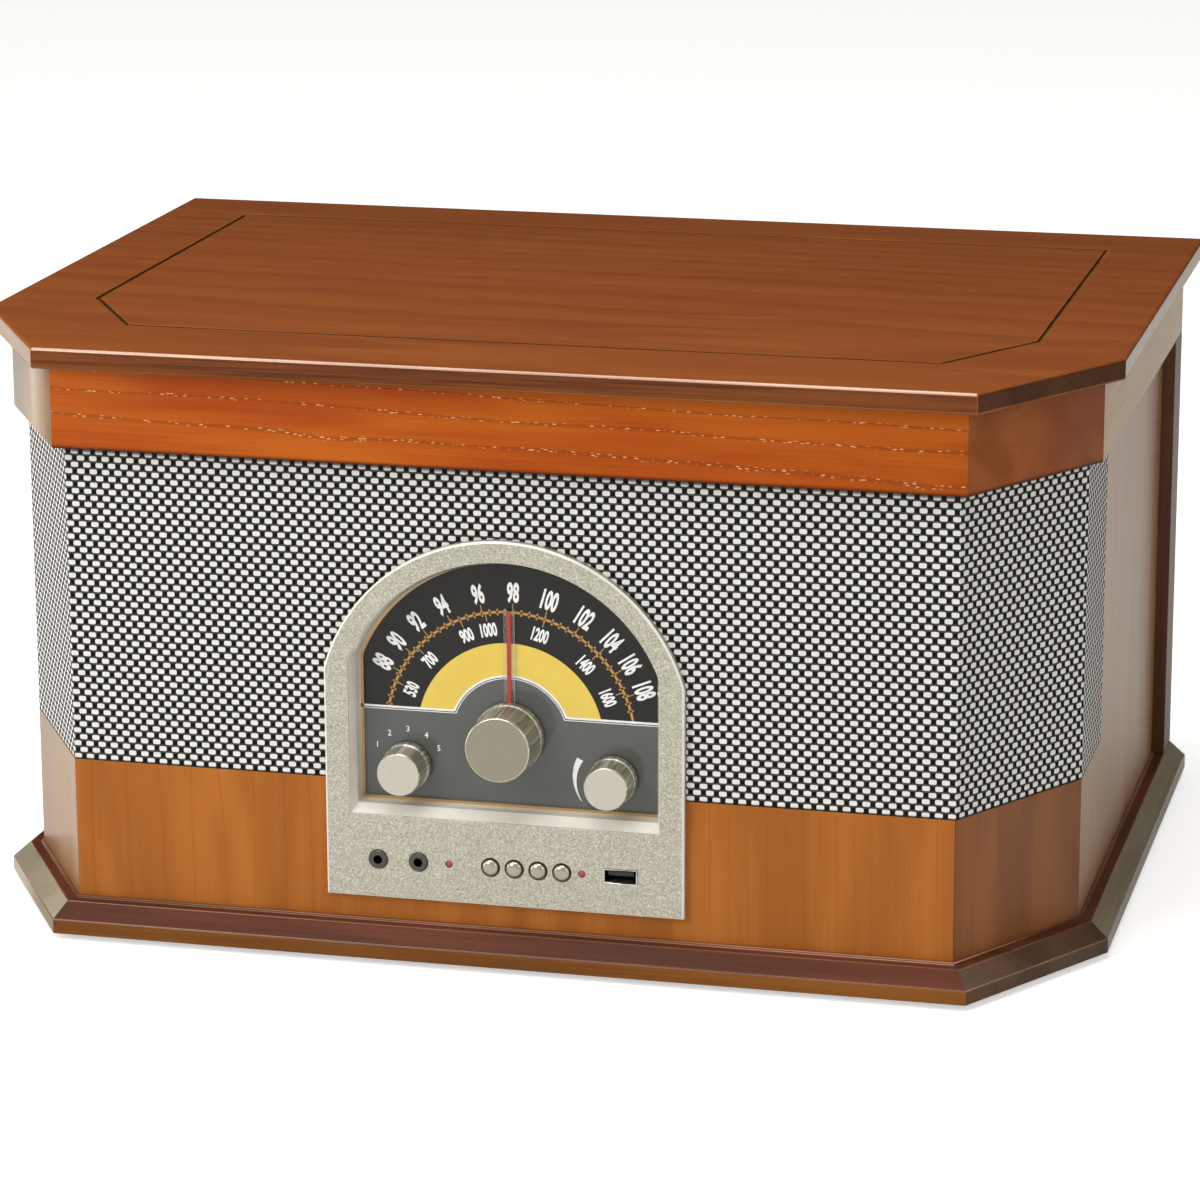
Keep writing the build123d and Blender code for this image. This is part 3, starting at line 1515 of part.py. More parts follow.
def ferrite_antenna():
    """Ferrite rod with its winding, in two cradles on the base."""
    z = plinth_top + antenna_z_above_base
    half = antenna_length / 2
    bar = rod(antenna_radius, (antenna_x - half, antenna_y, z), (antenna_x + half, antenna_y, z))
    start = antenna_x - antenna_coil_start
    coil = rod(antenna_radius + antenna_coil_wall, (start, antenna_y, z),
               (start + antenna_coil_length, antenna_y, z))
    return bar + coil


def antenna_cradles():
    z = plinth_top + antenna_z_above_base
    half = antenna_length / 2
    pieces = []
    for side in (-1, 1):
        x = antenna_x + side * (half - cradle_width)
        a, b = x - cradle_width / 2, x + cradle_width / 2
        stand = block(a, b, antenna_y - cradle_depth / 2, antenna_y + cradle_depth / 2, plinth_top,
                      z + cradle_cover)
        pieces.append(stand - rod(antenna_radius, (a - 1, antenna_y, z), (b + 1, antenna_y, z)))
    return group(*pieces)


def antenna_group():
    return group(ferrite_antenna(), antenna_cradles())


# Back sockets

def line_out_places():
    return [line_out_x - line_out_pitch / 2, line_out_x + line_out_pitch / 2]


def line_out_sockets():
    """A small panel with the left and right line outputs."""
    w, h = line_out_plate_width / 2, line_out_plate_height / 2
    body = block(line_out_x - w, line_out_x + w, back_face, back_face + socket_plate, line_out_z - h,
                 line_out_z + h)
    front, end, r = back_inner - line_out_inside, back_face + line_out_length, line_out_barrel
    barrel = [(0, front), (r, front), (r, end - 0.5), (r - 0.5, end), (0, end)]
    for x in line_out_places():
        floor = end - line_out_depth
        body = body + turned_forward(barrel, x, line_out_z)
        body = body - rod(line_out_bore, (x, floor, line_out_z), (x, end + 1, line_out_z))
    return body


def inlet_outline(grow):
    return SlotOverall(inlet_width + 2 * grow, inlet_height + 2 * grow)


def mains_inlet():
    """Two-pin inlet with its flange on the back, a slot-shaped well and two pins."""
    out, place = back_face + socket_plate, Pos(inlet_x, inlet_z)
    shell = fronted(place * inlet_outline(inlet_wall), out - inlet_depth - inlet_wall, out)
    flange = fronted(place * inlet_outline(inlet_wall + inlet_flange), back_face, out)
    body = shell + flange - fronted(place * inlet_outline(0), out - inlet_depth, out + 1)
    for side in (-1, 1):
        x = inlet_x + side * inlet_pin_pitch / 2
        start = out - inlet_depth
        body = body + rod(inlet_pin, (x, start - 0.1, inlet_z), (x, start + inlet_pin_length, inlet_z))
    return body


def rear_sockets():
    return group(line_out_sockets(), mains_inlet())


makers = {
    "plinth_moulding": plinth_moulding,
    "base_board": base_board,
    "feet": feet,
    "front_board": front_board,
    "side_boards": side_boards,
    "rear_frame": rear_frame,
    "apron_rails": apron_rails,
    "back_panel": back_panel,
    "cabinet_screws": cabinet_screws,
    "grille_cloth": grille_cloth,
    "grille_frame": grille_frame,
    "speaker_frames": speaker_frames,
    "speaker_cones": speaker_cones,
    "lid_board": lid_board,
    "hinge_leaves_lid": hinge_leaves_lid,
    "hinge_leaves_cabinet": hinge_leaves_cabinet,
    "stay_bracket": stay_bracket,
    "stay_arm": stay_arm,
    "stay_track": stay_track,
    "deck_plate": deck_plate,
    "spindle": spindle,
    "platter": platter,
    "platter_mat": platter_mat,
    "motor_pulley": motor_pulley,
    "turntable_motor": turntable_motor,
    "drive_belt": drive_belt,
    "tonearm_base": tonearm_base,
    "tonearm_yoke": tonearm_yoke,
    "tonearm_gimbal": tonearm_gimbal,
    "tonearm_tube": tonearm_tube,
    "counterweight": counterweight,
    "headshell": headshell,
    "cartridge": cartridge,
    "stylus": stylus,
    "arm_rest": arm_rest,
    "cue_bar": cue_bar,
    "cue_lever": cue_lever,
    "speed_lever": speed_lever,
    "stop_switch": stop_switch_cap,
    "deck_switches": deck_switches,
    "record_adapter": record_adapter,
    "bezel": bezel,
    "window_trim": window_trim,
    "dial_plate": dial_plate,
    "dial_pointer": dial_pointer,
    "tuning_knob": tuning_knob,
    "selector_knob": selector_knob,
    "volume_knob": volume_knob,
    "control_plate": control_group,
    "strip_board": strip_group,
    "front_sockets": front_sockets,
    "indicator_lamps": indicator_lamps,
    "button_previous": lambda: push_button(strip_places[0]),
    "button_play": lambda: push_button(strip_places[1]),
    "button_next": lambda: push_button(strip_places[2]),
    "button_record": lambda: push_button(strip_places[3]),
    "amplifier_board": amplifier_board,
    "mains_transformer": mains_transformer,
    "ferrite_antenna": antenna_group,
    "rear_sockets": rear_sockets,
}

if __name__ == "__main__":
    os.makedirs("parts", exist_ok=True)
    for name, make in makers.items():
        shape = make()
        export_step(shape, os.path.join("parts", name + ".step"))
        print(name, len(shape.solids()), round(shape.volume, 1))
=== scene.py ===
"""Retro cabinet turntable: finishes, cloth, printed dial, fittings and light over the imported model.

Metres, +Z up, the front faces -Y. The origin is under the middle of the cabinet. The sub-assemblies' classes
hold their places and sizes in millimetres.
"""

import json
import logging
import math
from dataclasses import dataclass, replace
from enum import Enum
from typing import Callable, Optional, Sequence

import bmesh
import bpy
from mathutils import Matrix, Vector

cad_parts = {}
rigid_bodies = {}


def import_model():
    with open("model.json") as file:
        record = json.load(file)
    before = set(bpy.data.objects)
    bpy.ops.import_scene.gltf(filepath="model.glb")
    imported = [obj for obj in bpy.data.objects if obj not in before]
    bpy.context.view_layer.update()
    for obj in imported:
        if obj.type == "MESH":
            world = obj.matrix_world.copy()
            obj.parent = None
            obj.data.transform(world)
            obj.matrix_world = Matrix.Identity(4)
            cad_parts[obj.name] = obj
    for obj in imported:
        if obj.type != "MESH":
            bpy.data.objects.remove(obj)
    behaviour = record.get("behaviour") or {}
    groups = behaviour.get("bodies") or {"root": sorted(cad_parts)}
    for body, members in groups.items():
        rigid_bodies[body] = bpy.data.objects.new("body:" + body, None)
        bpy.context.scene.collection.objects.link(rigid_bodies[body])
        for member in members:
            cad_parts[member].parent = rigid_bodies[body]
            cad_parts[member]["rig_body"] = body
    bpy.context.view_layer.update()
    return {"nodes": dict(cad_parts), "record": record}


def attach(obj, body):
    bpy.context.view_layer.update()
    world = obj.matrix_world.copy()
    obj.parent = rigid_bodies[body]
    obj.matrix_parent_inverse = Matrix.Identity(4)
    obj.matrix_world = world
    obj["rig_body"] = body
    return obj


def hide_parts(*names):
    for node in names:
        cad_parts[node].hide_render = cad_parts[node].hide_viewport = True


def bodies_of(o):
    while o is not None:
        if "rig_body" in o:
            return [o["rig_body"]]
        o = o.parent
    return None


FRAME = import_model()
MM = 0.001
LOG = logging.getLogger("turntable")

Tree = bpy.types.NodeTree
Node = bpy.types.Node
Socket = bpy.types.NodeSocket
Piece = bpy.types.Object
Rule = Callable[[Vector, Vector], int]
Pair = tuple[float, float]
Triple = tuple[float, float, float]
Points = Sequence[Pair]

# Settings of a node that mixes two colours, and of one that eases between two values
COLOURS = {"out": 2, "data_type": "RGBA"}
EASED = {"interpolation_type": "SMOOTHSTEP"}

# Shares of a face's normal: past the first the face is slanted, past the second it looks along an axis
SLANTED = 0.3
SQUARE = 0.95

# The large knob's shaft and the right small knob's, across and up in millimetres
SHAFT = (0.0, 91.5)
SMALL_KNOB = (41.6, 77.0)


def linear(code: str) -> tuple[float, float, float, float]:
    """Turns an sRGB hex colour into a linear one.

    Args:
        code: Six hex digits.

    Returns:
        Red, green, blue and one for alpha.
    """
    parts = [int(code[i:i + 2], 16) / 255 for i in (0, 2, 4)]
    flat = [c / 12.92 if c <= 0.04045 else ((c + 0.055) / 1.055) ** 2.4 for c in parts]
    return (flat[0], flat[1], flat[2], 1.0)


def plug(tree: Tree, node: Node, inputs: dict) -> None:
    """Sets and links a node's inputs.

    Args:
        tree: Tree that holds the node.
        node: The node.
        inputs: Values or sockets by input name or number; a socket is linked.
    """
    for name, value in inputs.items():
        if isinstance(value, Socket):
            tree.links.new(value, node.inputs[name])
        else:
            node.inputs[name].default_value = value


def add(tree: Tree, kind: str, inputs: Optional[dict] = None, out: int = 0,
        **settings: object) -> Optional[Socket]:
    """Adds a node with its settings and links.

    Args:
        tree: Shader or geometry tree that takes the node.
        kind: Type name of the node.
        inputs: Values or sockets by input name or number; a socket is linked.
        out: Number of the output that is handed back.
        **settings: Properties of the node.

    Returns:
        The chosen output, or nothing for a node without outputs.
    """
    node = tree.nodes.new(kind)
    for name, value in settings.items():
        setattr(node, name, value)
    plug(tree, node, inputs or {})
    return node.outputs[out] if len(node.outputs) else None


def blank_tree(holder: bpy.types.ID) -> Tree:
    """Gives a new material or world an empty tree.

    Args:
        holder: The new material or world.

    Returns:
        Its tree, without a node.
    """
    holder.use_nodes = True
    holder.node_tree.nodes.clear()
    return holder.node_tree


class Axis(Enum):
    """A direction of the frame: which way fibres, brushing or a turned face run."""

    X = 0
    Y = 1
    Z = 2

    def stretch(self, along: float, across: float) -> Triple:
        """Gives pattern scales, from the two sizes in millimetres of one feature.

        Args:
            along: Size along this axis.
            across: Size across it.

        Returns:
            Scale by axis, per metre.
        """
        scale = [1 / (across * MM)] * 3
        scale[self.value] = 1 / (along * MM)
        return tuple(scale)


@dataclass(frozen=True)
class Finish:
    """What a surface is made of; subclasses paint it."""

    name: str

    def material(self) -> bpy.types.Material:
        """Makes the material the first time and returns it after that.

        Returns:
            The material.
        """
        found = bpy.data.materials.get(self.name)
        if found:
            return found
        made = bpy.data.materials.new(self.name)
        tree = blank_tree(made)
        shader = add(tree, "ShaderNodeBsdfPrincipled")
        self.paint(tree, shader.node, add(tree, "ShaderNodeTexCoord", out=3))
        add(tree, "ShaderNodeOutputMaterial", {"Surface": shader})
        return made

    def paint(self, tree: Tree, shader: Node, place: Socket) -> None:
        """Sets the shader.

        Args:
            tree: The material's tree.
            shader: Its Principled shader.
            place: Object coordinates, in metres.
        """
        raise NotImplementedError


@dataclass(frozen=True)
class Veneer(Finish):
    """Stained and lacquered wood: fine fibres, broad bands, growth arcs and open pores.

    Each size is along and across the grain in millimetres, as on the real wood; fibres are drawn 1.1 mm wide,
    since real ones are too fine to show. Places, and the heights and depths of the painted shade, are in
    metres.
    """

    pale: str = "C0641C"
    deep: str = "A04A16"
    line: str = "7C3410"
    grain: Axis = Axis.X
    roughness: float = 0.4
    specular: float = 0.15
    coat: float = 0.0
    coat_roughness: float = 0.12
    fibre: float = 0.35
    fibre_size: Pair = (70.0, 1.1)
    band_size: Pair = (150.0, 22.0)
    arcs: float = 0.0
    arc_line: Pair = (0.45, 0.95)
    arc_side: Axis = Axis.Z
    arc_middle: Pair = (0.0, 0.0)
    arc_size: Pair = (60.0, 14.0)
    sway: float = 3.0
    pores: float = 0.0
    pore_size: Pair = (7.5, 0.7)
    pore_colour: str = "E0A060"
    # Painted shade at the foot: the height where it is darkest, and its colour
    foot_shade: float = 0.0
    foot_shade_colour: str = "3A1608"
    # Painted shade towards the back: its strength, and the depths where it starts and ends
    painted_shade: float = 0.0
    painted_shade_from: float = -0.17
    painted_shade_to: float = 0.165

    def paint(self, tree: Tree, shader: Node, place: Socket) -> None:
        """Mixes the stain's tones by fibre, band and arc, lays pores and painted shade, then the lacquer over
        them.

        Args:
            tree: The material's tree.
            shader: Its Principled shader.
            place: Object coordinates, in metres.
        """
        fibre_place = add(tree, "ShaderNodeMapping",
                          {"Vector": place, "Scale": self.grain.stretch(*self.fibre_size)})
        fibre = add(tree, "ShaderNodeTexNoise",
                    {"Vector": fibre_place, "Scale": 1.0, "Detail": 4.0, "Roughness": 0.62,
                     "Distortion": 0.25})
        band_place = add(tree, "ShaderNodeMapping",
                         {"Vector": place, "Scale": self.grain.stretch(*self.band_size)})
        band = add(tree, "ShaderNodeTexNoise",
                   {"Vector": band_place, "Scale": 1.0, "Detail": 2.0, "Roughness": 0.5, "Distortion": 0.6})
        tone = add(tree, "ShaderNodeMix", {0: 1 - self.fibre, 2: fibre, 3: band})
        tone = add(tree, "ShaderNodeMapRange", {"Value": tone, "From Min": 0.36, "From Max": 0.66}, **EASED)
        colour = add(tree, "ShaderNodeMix", {0: tone, 6: linear(self.deep), 7: linear(self.pale)}, **COLOURS)
        ring = self.growth(tree, place, band)
        if self.arcs:
            strength = add(tree, "ShaderNodeMath", {0: ring, 1: self.arcs}, operation="MULTIPLY")
            colour = add(tree, "ShaderNodeMix", {0: strength, 6: colour, 7: linear(self.line)}, **COLOURS)
        pore_place = add(tree, "ShaderNodeMapping",
                         {"Vector": place, "Scale": self.grain.stretch(*self.pore_size)})
        pore = add(tree, "ShaderNodeTexVoronoi", {"Vector": pore_place, "Scale": 1.0, "Randomness": 1.0})
        pore = add(tree, "ShaderNodeMapRange", {"Value": pore, "From Min": 0.34, "From Max": 0.16})
        if self.pores:
            open_pore = add(tree, "ShaderNodeMath", {0: pore, 1: ring}, operation="MULTIPLY")
            open_pore = add(tree, "ShaderNodeMath", {0: open_pore, 1: self.pores}, operation="MULTIPLY")
            colour = add(tree, "ShaderNodeMix", {0: open_pore, 6: colour, 7: linear(self.pore_colour)},
                         **COLOURS)
        # Painted shade darkens the wood from 1.6 mm above the foot line downwards, where it meets the part
        # below
        if self.foot_shade:
            height = add(tree, "ShaderNodeSeparateXYZ", {"Vector": place}, out=2)
            painted_shade = add(tree, "ShaderNodeMapRange",
                        {"Value": height, "From Min": self.foot_shade + 0.0016, "From Max": self.foot_shade})
            colour = add(tree, "ShaderNodeMix", {0: painted_shade, 6: colour, 7: linear(self.foot_shade_colour)}, **COLOURS)
        # Painted shade: the wood darkens towards the back, into the line's colour
        if self.painted_shade:
            depth = add(tree, "ShaderNodeSeparateXYZ", {"Vector": place}, out=1)
            painted_shade = add(tree, "ShaderNodeMapRange",
                        {"Value": depth, "From Min": self.painted_shade_from, "From Max": self.painted_shade_to,
                         "To Max": self.painted_shade})
            colour = add(tree, "ShaderNodeMix", {0: painted_shade, 6: colour, 7: linear(self.line)}, **COLOURS)
        bump = add(tree, "ShaderNodeBump", {"Height": fibre, "Strength": 0.10, "Distance": 0.0002})
        bump = add(tree, "ShaderNodeBump",
                   {"Height": pore, "Strength": 0.12, "Distance": 0.0002, "Normal": bump}, invert=True)
        gloss = add(tree, "ShaderNodeMapRange",
                    {"Value": band, "To Min": self.roughness - 0.05, "To Max": self.roughness + 0.07})
        plug(tree, shader, {"Base Color": colour, "Roughness": gloss, "Normal": bump, "IOR": 1.5,
                            "Specular IOR Level": self.specular, "Coat Weight": self.coat,
                            "Coat Roughness": self.coat_roughness})

    def growth(self, tree: Tree, place: Socket, sway: Socket) -> Socket:
        """Draws the nested arcs that a flat cut leaves.

        Args:
            tree: The material's tree.
            place: Object coordinates.
            sway: Slow noise that bends the arcs.

        Returns:
            A mask that is one in the late wood of each ring.
        """
        split = add(tree, "ShaderNodeSeparateXYZ", {"Vector": place}).node
        ways = []
        for axis, middle, size in zip((self.grain, self.arc_side), self.arc_middle, self.arc_size):
            moved = add(tree, "ShaderNodeMath", {0: split.outputs[axis.value], 1: -middle}, operation="ADD")
            ways.append(add(tree, "ShaderNodeMath", {0: moved, 1: 1 / (size * MM)}, operation="MULTIPLY"))
        along, across = ways
        across = add(tree, "ShaderNodeMath", {0: across, 1: 2.0}, operation="POWER")
        reach = add(tree, "ShaderNodeMath", {0: along, 1: across, 2: along}, operation="ADD")
        wave = add(tree, "ShaderNodeMath", {0: sway, 1: self.sway, 2: reach}, operation="MULTIPLY_ADD")
        wave = add(tree, "ShaderNodeMath", {0: wave, 1: 1.0}, operation="PINGPONG")
        return add(tree, "ShaderNodeMapRange",
                   {"Value": wave, "From Min": self.arc_line[0], "From Max": self.arc_line[1]}, **EASED)


@dataclass(frozen=True)
class GrilleWeave(Finish):
    """Woven speaker cloth: plump white threads float over a black ground, every other row half a step over.

    The pitch, the row and the float's length and height are in millimetres, read from the fitted photograph.
    The heights of the cloth's top and foot, where painted shadow darkens it, are in metres.
    """

    white: str = "E8E6E1"
    faded: str = "B9B6B0"
    shadow_tone: str = "1E1814"
    black: str = "070707"
    binder: str = "4C4A48"
    pitch: float = 5.1
    row: float = 2.65
    float_size: Pair = (3.1, 2.0)
    top: float = 0.2005
    foot: float = 0.0725

    def paint(self, tree: Tree, shader: Node, place: Socket) -> None:
        """Lays the floats out on the cloth's own UV map, which is in metres along and up the cloth.

        Args:
            tree: The material's tree.
            shader: Its Principled shader.
            place: Object coordinates, in metres.
        """
        laid = add(tree, "ShaderNodeUVMap", uv_map="weave")
        split = add(tree, "ShaderNodeSeparateXYZ", {"Vector": laid}).node
        rows = add(tree, "ShaderNodeMath", {0: split.outputs[1], 1: 1 / (self.row * MM)},
                   operation="MULTIPLY")
        shift = add(tree, "ShaderNodeMath", {0: rows}, operation="FLOOR")
        shift = add(tree, "ShaderNodeMath", {0: shift, 1: 0.5}, operation="MULTIPLY")
        columns = add(tree, "ShaderNodeMath", {0: split.outputs[0], 1: 1 / (self.pitch * MM), 2: shift},
                      operation="MULTIPLY_ADD")
        u = self.offset(tree, columns, self.pitch / self.float_size[0])
        v = self.offset(tree, rows, self.row / self.float_size[1])
        body = add(tree, "ShaderNodeMath", {0: u, 1: v}, operation="ADD")
        thread = add(tree, "ShaderNodeMapRange", {"Value": body, "From Min": 1.12, "From Max": 0.82}, **EASED)
        # The yarn's plies are 0.4 mm long, and the wear changes over some 4 mm
        ply = add(tree, "ShaderNodeTexNoise", {"Vector": place, "Scale": 2600.0, "Detail": 2.0})
        worn = add(tree, "ShaderNodeTexNoise", {"Vector": place, "Scale": 230.0, "Detail": 1.0})
        pale = add(tree, "ShaderNodeMapRange",
                   {"Value": worn, "From Min": 0.3, "From Max": 0.7, "To Min": 0.86, "To Max": 1.0})
        white = add(tree, "ShaderNodeMix", {0: pale, 6: linear(self.faded), 7: linear(self.white)}, **COLOURS)
        between = add(tree, "ShaderNodeMapRange", {"Value": v, "From Min": 0.55, "From Max": 1.15}, **EASED)
        between = add(tree, "ShaderNodeMath", {0: between, 1: ply}, operation="MULTIPLY")
        between = add(tree, "ShaderNodeMath", {0: between, 1: 1.7}, operation="MULTIPLY", use_clamp=True)
        black = add(tree, "ShaderNodeMix", {0: between, 6: linear(self.black), 7: linear(self.binder)},
                    **COLOURS)
        colour = add(tree, "ShaderNodeMix", {0: thread, 6: black, 7: white}, **COLOURS)
        # The cloth is tucked under the apron above and folded in below; painted shadow darkens it along both
        # edges
        level = add(tree, "ShaderNodeSeparateXYZ", {"Vector": place}, out=2)
        apron_shadow = add(tree, "ShaderNodeMapRange",
                     {"Value": level, "From Min": self.top - 0.0026, "From Max": self.top - 0.0018,
                      "To Max": 0.8})
        foot_shadow = add(tree, "ShaderNodeMapRange",
                     {"Value": level, "From Min": self.foot + 0.0009, "From Max": self.foot + 0.0004,
                      "To Max": 0.9})
        painted_shadow = add(tree, "ShaderNodeMath", {0: apron_shadow, 1: foot_shadow}, operation="MAXIMUM")
        colour = add(tree, "ShaderNodeMix", {0: painted_shadow, 6: colour, 7: linear(self.shadow_tone)}, **COLOURS)
        height = add(tree, "ShaderNodeMath", {0: ply, 1: 0.15, 2: thread}, operation="MULTIPLY_ADD")
        bump = add(tree, "ShaderNodeBump", {"Height": height, "Strength": 0.5, "Distance": 0.0004})
        plug(tree, shader,
             {"Base Color": colour, "Normal": bump, "Roughness": 0.75, "Specular IOR Level": 0.15})

    def offset(self, tree: Tree, steps: Socket, widen: float) -> Socket:
        """Gives how far a point is from the middle of its float, to the fourth power.

        Args:
            tree: The material's tree.
            steps: Place counted in floats.
            widen: Pitch over the float's length.

        Returns:
            Zero in the middle and one at the float's edge.
        """
        part = add(tree, "ShaderNodeMath", {0: steps}, operation="FRACT")
        part = add(tree, "ShaderNodeMath", {0: part, 1: 0.5}, operation="SUBTRACT")
        part = add(tree, "ShaderNodeMath", {0: part, 1: 2 * widen}, operation="MULTIPLY")
        part = add(tree, "ShaderNodeMath", {0: part, 1: part}, operation="MULTIPLY")
        return add(tree, "ShaderNodeMath", {0: part, 1: part}, operation="MULTIPLY")


@dataclass(frozen=True)
class FlakePaint(Finish):
    """Metallic paint on moulded plastic, or drawn metal: grains that catch the light one by one.

    A grain is `flake` millimetres wide and `drawn` times as long from front to back.
    """

    mean: str = "BCB8A8"
    bright: str = "E6E2D8"
    dark: str = "928E7A"
    flake: float = 0.4
    drawn: float = 1.0
    metallic: float = 0.45
    roughness: float = 0.42

    def paint(self, tree: Tree, shader: Node, place: Socket) -> None:
        """Gives each flake its own tone and tilt; real ones are finer, and 0.4 mm is as fine as can be seen.

        Args:
            tree: The material's tree.
            shader: Its Principled shader.
            place: Object coordinates, in metres.
        """
        laid = add(tree, "ShaderNodeMapping",
                   {"Vector": place, "Scale": Axis.Y.stretch(self.flake * self.drawn, self.flake)})
        cells = add(tree, "ShaderNodeTexVoronoi", {"Vector": laid, "Scale": 1.0}, out=1)
        tone = add(tree, "ShaderNodeSeparateXYZ", {"Vector": cells})
        grain = add(tree, "ShaderNodeTexNoise",
                    {"Vector": laid, "Scale": 0.36, "Detail": 3.0, "Roughness": 0.7})
        mixed = add(tree, "ShaderNodeMix", {0: 0.5, 2: tone, 3: grain})
        low = add(tree, "ShaderNodeMapRange", {"Value": mixed, "From Min": 0.15, "From Max": 0.5})
        high = add(tree, "ShaderNodeMapRange", {"Value": mixed, "From Min": 0.55, "From Max": 0.85})
        colour = add(tree, "ShaderNodeMix", {0: low, 6: linear(self.dark), 7: linear(self.mean)}, **COLOURS)
        colour = add(tree, "ShaderNodeMix", {0: high, 6: colour, 7: linear(self.bright)}, **COLOURS)
        bump = add(tree, "ShaderNodeBump", {"Height": mixed, "Strength": 0.55, "Distance": 0.0002})
        plug(tree, shader, {"Base Color": colour, "Normal": bump, "Metallic": self.metallic,
                            "Roughness": self.roughness})


@dataclass(frozen=True)
class Metal(Finish):
    """Plated, brushed or turned metal.

    `lines` is the width of a tool mark in millimetres, and the turning centre is in metres.
    """

    colour: str = "C8C8C8"
    roughness: float = 0.2
    brushed: Optional[Axis] = None
    turned_at: Optional[Triple] = None
    turned_about: Axis = Axis.Y
    lines: float = 0.35
    depth: float = 0.25

    def paint(self, tree: Tree, shader: Node, place: Socket) -> None:
        """Sets fine lines along the brushing or round the turning centre, and a slight change of gloss.

        Args:
            tree: The material's tree.
            shader: Its Principled shader.
            place: Object coordinates, in metres.
        """
        if self.turned_at:
            moved = add(tree, "ShaderNodeMapping",
                        {"Vector": place, "Location": tuple(-c for c in self.turned_at)})
            flat = [1.0, 1.0, 1.0]
            flat[self.turned_about.value] = 0.0
            radial = add(tree, "ShaderNodeVectorMath", {0: moved, 1: tuple(flat)}, operation="MULTIPLY")
            reach = add(tree, "ShaderNodeVectorMath", {0: radial}, out=1, operation="LENGTH")
            marks = add(tree, "ShaderNodeTexNoise",
                        {"W": reach, "Scale": 1 / (self.lines * MM), "Detail": 2.0}, noise_dimensions="1D")
        elif self.brushed:
            laid = add(tree, "ShaderNodeMapping",
                       {"Vector": place, "Scale": self.brushed.stretch(40, self.lines)})
            marks = add(tree, "ShaderNodeTexNoise",
                        {"Vector": laid, "Scale": 1.0, "Detail": 3.0, "Roughness": 0.6})
        else:
            # A plain surface is cloudy by patches of some 2.4 mm
            marks = add(tree, "ShaderNodeTexNoise",
                        {"Vector": place, "Scale": 420.0, "Detail": 3.0, "Roughness": 0.6})
        gloss = add(tree, "ShaderNodeMapRange",
                    {"Value": marks, "To Min": self.roughness * 0.75, "To Max": self.roughness * 1.3})
        bump = add(tree, "ShaderNodeBump", {"Height": marks, "Strength": self.depth, "Distance": 0.00005})
        tone = add(tree, "ShaderNodeMapRange",
                   {"Value": marks, "From Min": 0.25, "From Max": 0.75, "To Min": 0.9, "To Max": 1.0})
        base = linear(self.colour)
        colour = add(tree, "ShaderNodeVectorMath", {0: base[:3], 3: tone}, operation="SCALE")
        plug(tree, shader, {"Base Color": colour, "Roughness": gloss, "Normal": bump, "Metallic": 1.0})


@dataclass(frozen=True)
class Moulded(Finish):
    """Moulded, painted or printed stuff: plastic, rubber, board, paper, ink and enamel.

    The fleck, which parts the two tones, and the mould's texture are given by their size in millimetres.
    """

    colour: str = "101012"
    second: str = ""
    roughness: float = 0.5
    texture: float = 0.4
    depth: float = 0.15
    fleck: float = 2.0
    coat: float = 0.0
    sheen: float = 0.0
    clear: float = 0.0
    specular: float = 0.5
    ior: float = 1.46

    def paint(self, tree: Tree, shader: Node, place: Socket) -> None:
        """Mixes two near tones by the size of the fleck, and roughens the surface by the mould's texture.

        Args:
            tree: The material's tree.
            shader: Its Principled shader.
            place: Object coordinates, in metres.
        """
        fleck = add(tree, "ShaderNodeTexNoise",
                    {"Vector": place, "Scale": 1 / (self.fleck * MM), "Detail": 3.0, "Roughness": 0.6})
        share = add(tree, "ShaderNodeMapRange", {"Value": fleck, "From Min": 0.35, "From Max": 0.68})
        colour = add(tree, "ShaderNodeMix",
                     {0: share, 6: linear(self.colour), 7: linear(self.second or self.colour)}, **COLOURS)
        grit = add(tree, "ShaderNodeTexNoise",
                   {"Vector": place, "Scale": 1 / (self.texture * MM), "Detail": 2.0})
        bump = add(tree, "ShaderNodeBump", {"Height": grit, "Strength": self.depth, "Distance": 0.0001})
        gloss = add(tree, "ShaderNodeMapRange",
                    {"Value": grit, "To Min": self.roughness * 0.9,
                     "To Max": min(1.0, self.roughness * 1.1)})
        plug(tree, shader, {"Base Color": colour, "Normal": bump, "Roughness": gloss, "IOR": self.ior,
                            "Coat Weight": self.coat, "Sheen Weight": self.sheen,
                            "Transmission Weight": self.clear, "Specular IOR Level": self.specular})


def link(name: str, data: bpy.types.ID) -> Piece:
    """Puts a mesh or curve into the scene under a name.

    Args:
        name: Name of the object.
        data: Mesh, curve, light or camera.

    Returns:
        The new object.
    """
    made = bpy.data.objects.new(name, data)
    bpy.context.scene.collection.objects.link(made)
    return made


def plain(piece: Piece) -> Piece:
    """Turns a curve, text or mesh with modifiers into a plain mesh with its place in its points.

    Args:
        piece: Object to settle; it is removed.

    Returns:
        A new object of the same name, at the origin.
    """
    bpy.context.view_layer.update()
    mesh = bpy.data.meshes.new_from_object(piece.evaluated_get(bpy.context.evaluated_depsgraph_get()))
    mesh.transform(piece.matrix_world)
    name = piece.name
    bpy.data.objects.remove(piece)
    mesh.name = name
    return link(name, mesh)


def body_of(node: str) -> str:
    """Names the body that a CAD node rides on."""
    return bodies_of(FRAME["nodes"][node])[0]


def settle(piece: Piece, body: str, slot: str, finish: Optional[Finish] = None,
           nodes: Sequence[str] = ()) -> Piece:
    """Gives a piece its finish, its body and the CAD nodes that it stands for, and reports it.

    Args:
        piece: Plain mesh at the origin.
        body: Body that it moves with.
        slot: Slot of the record that its finish belongs to; not used.
        finish: What it is made of, unless its faces are already dressed.
        nodes: CAD nodes that it replaces.

    Returns:
        The same piece.
    """
    if finish:
        piece.data.materials.clear()
        piece.data.materials.append(finish.material())
    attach(piece, body)
    if nodes:
        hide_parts(*nodes)
    LOG.info("%s: %d faces, rides on %s", piece.name, len(piece.data.polygons), body)
    return piece


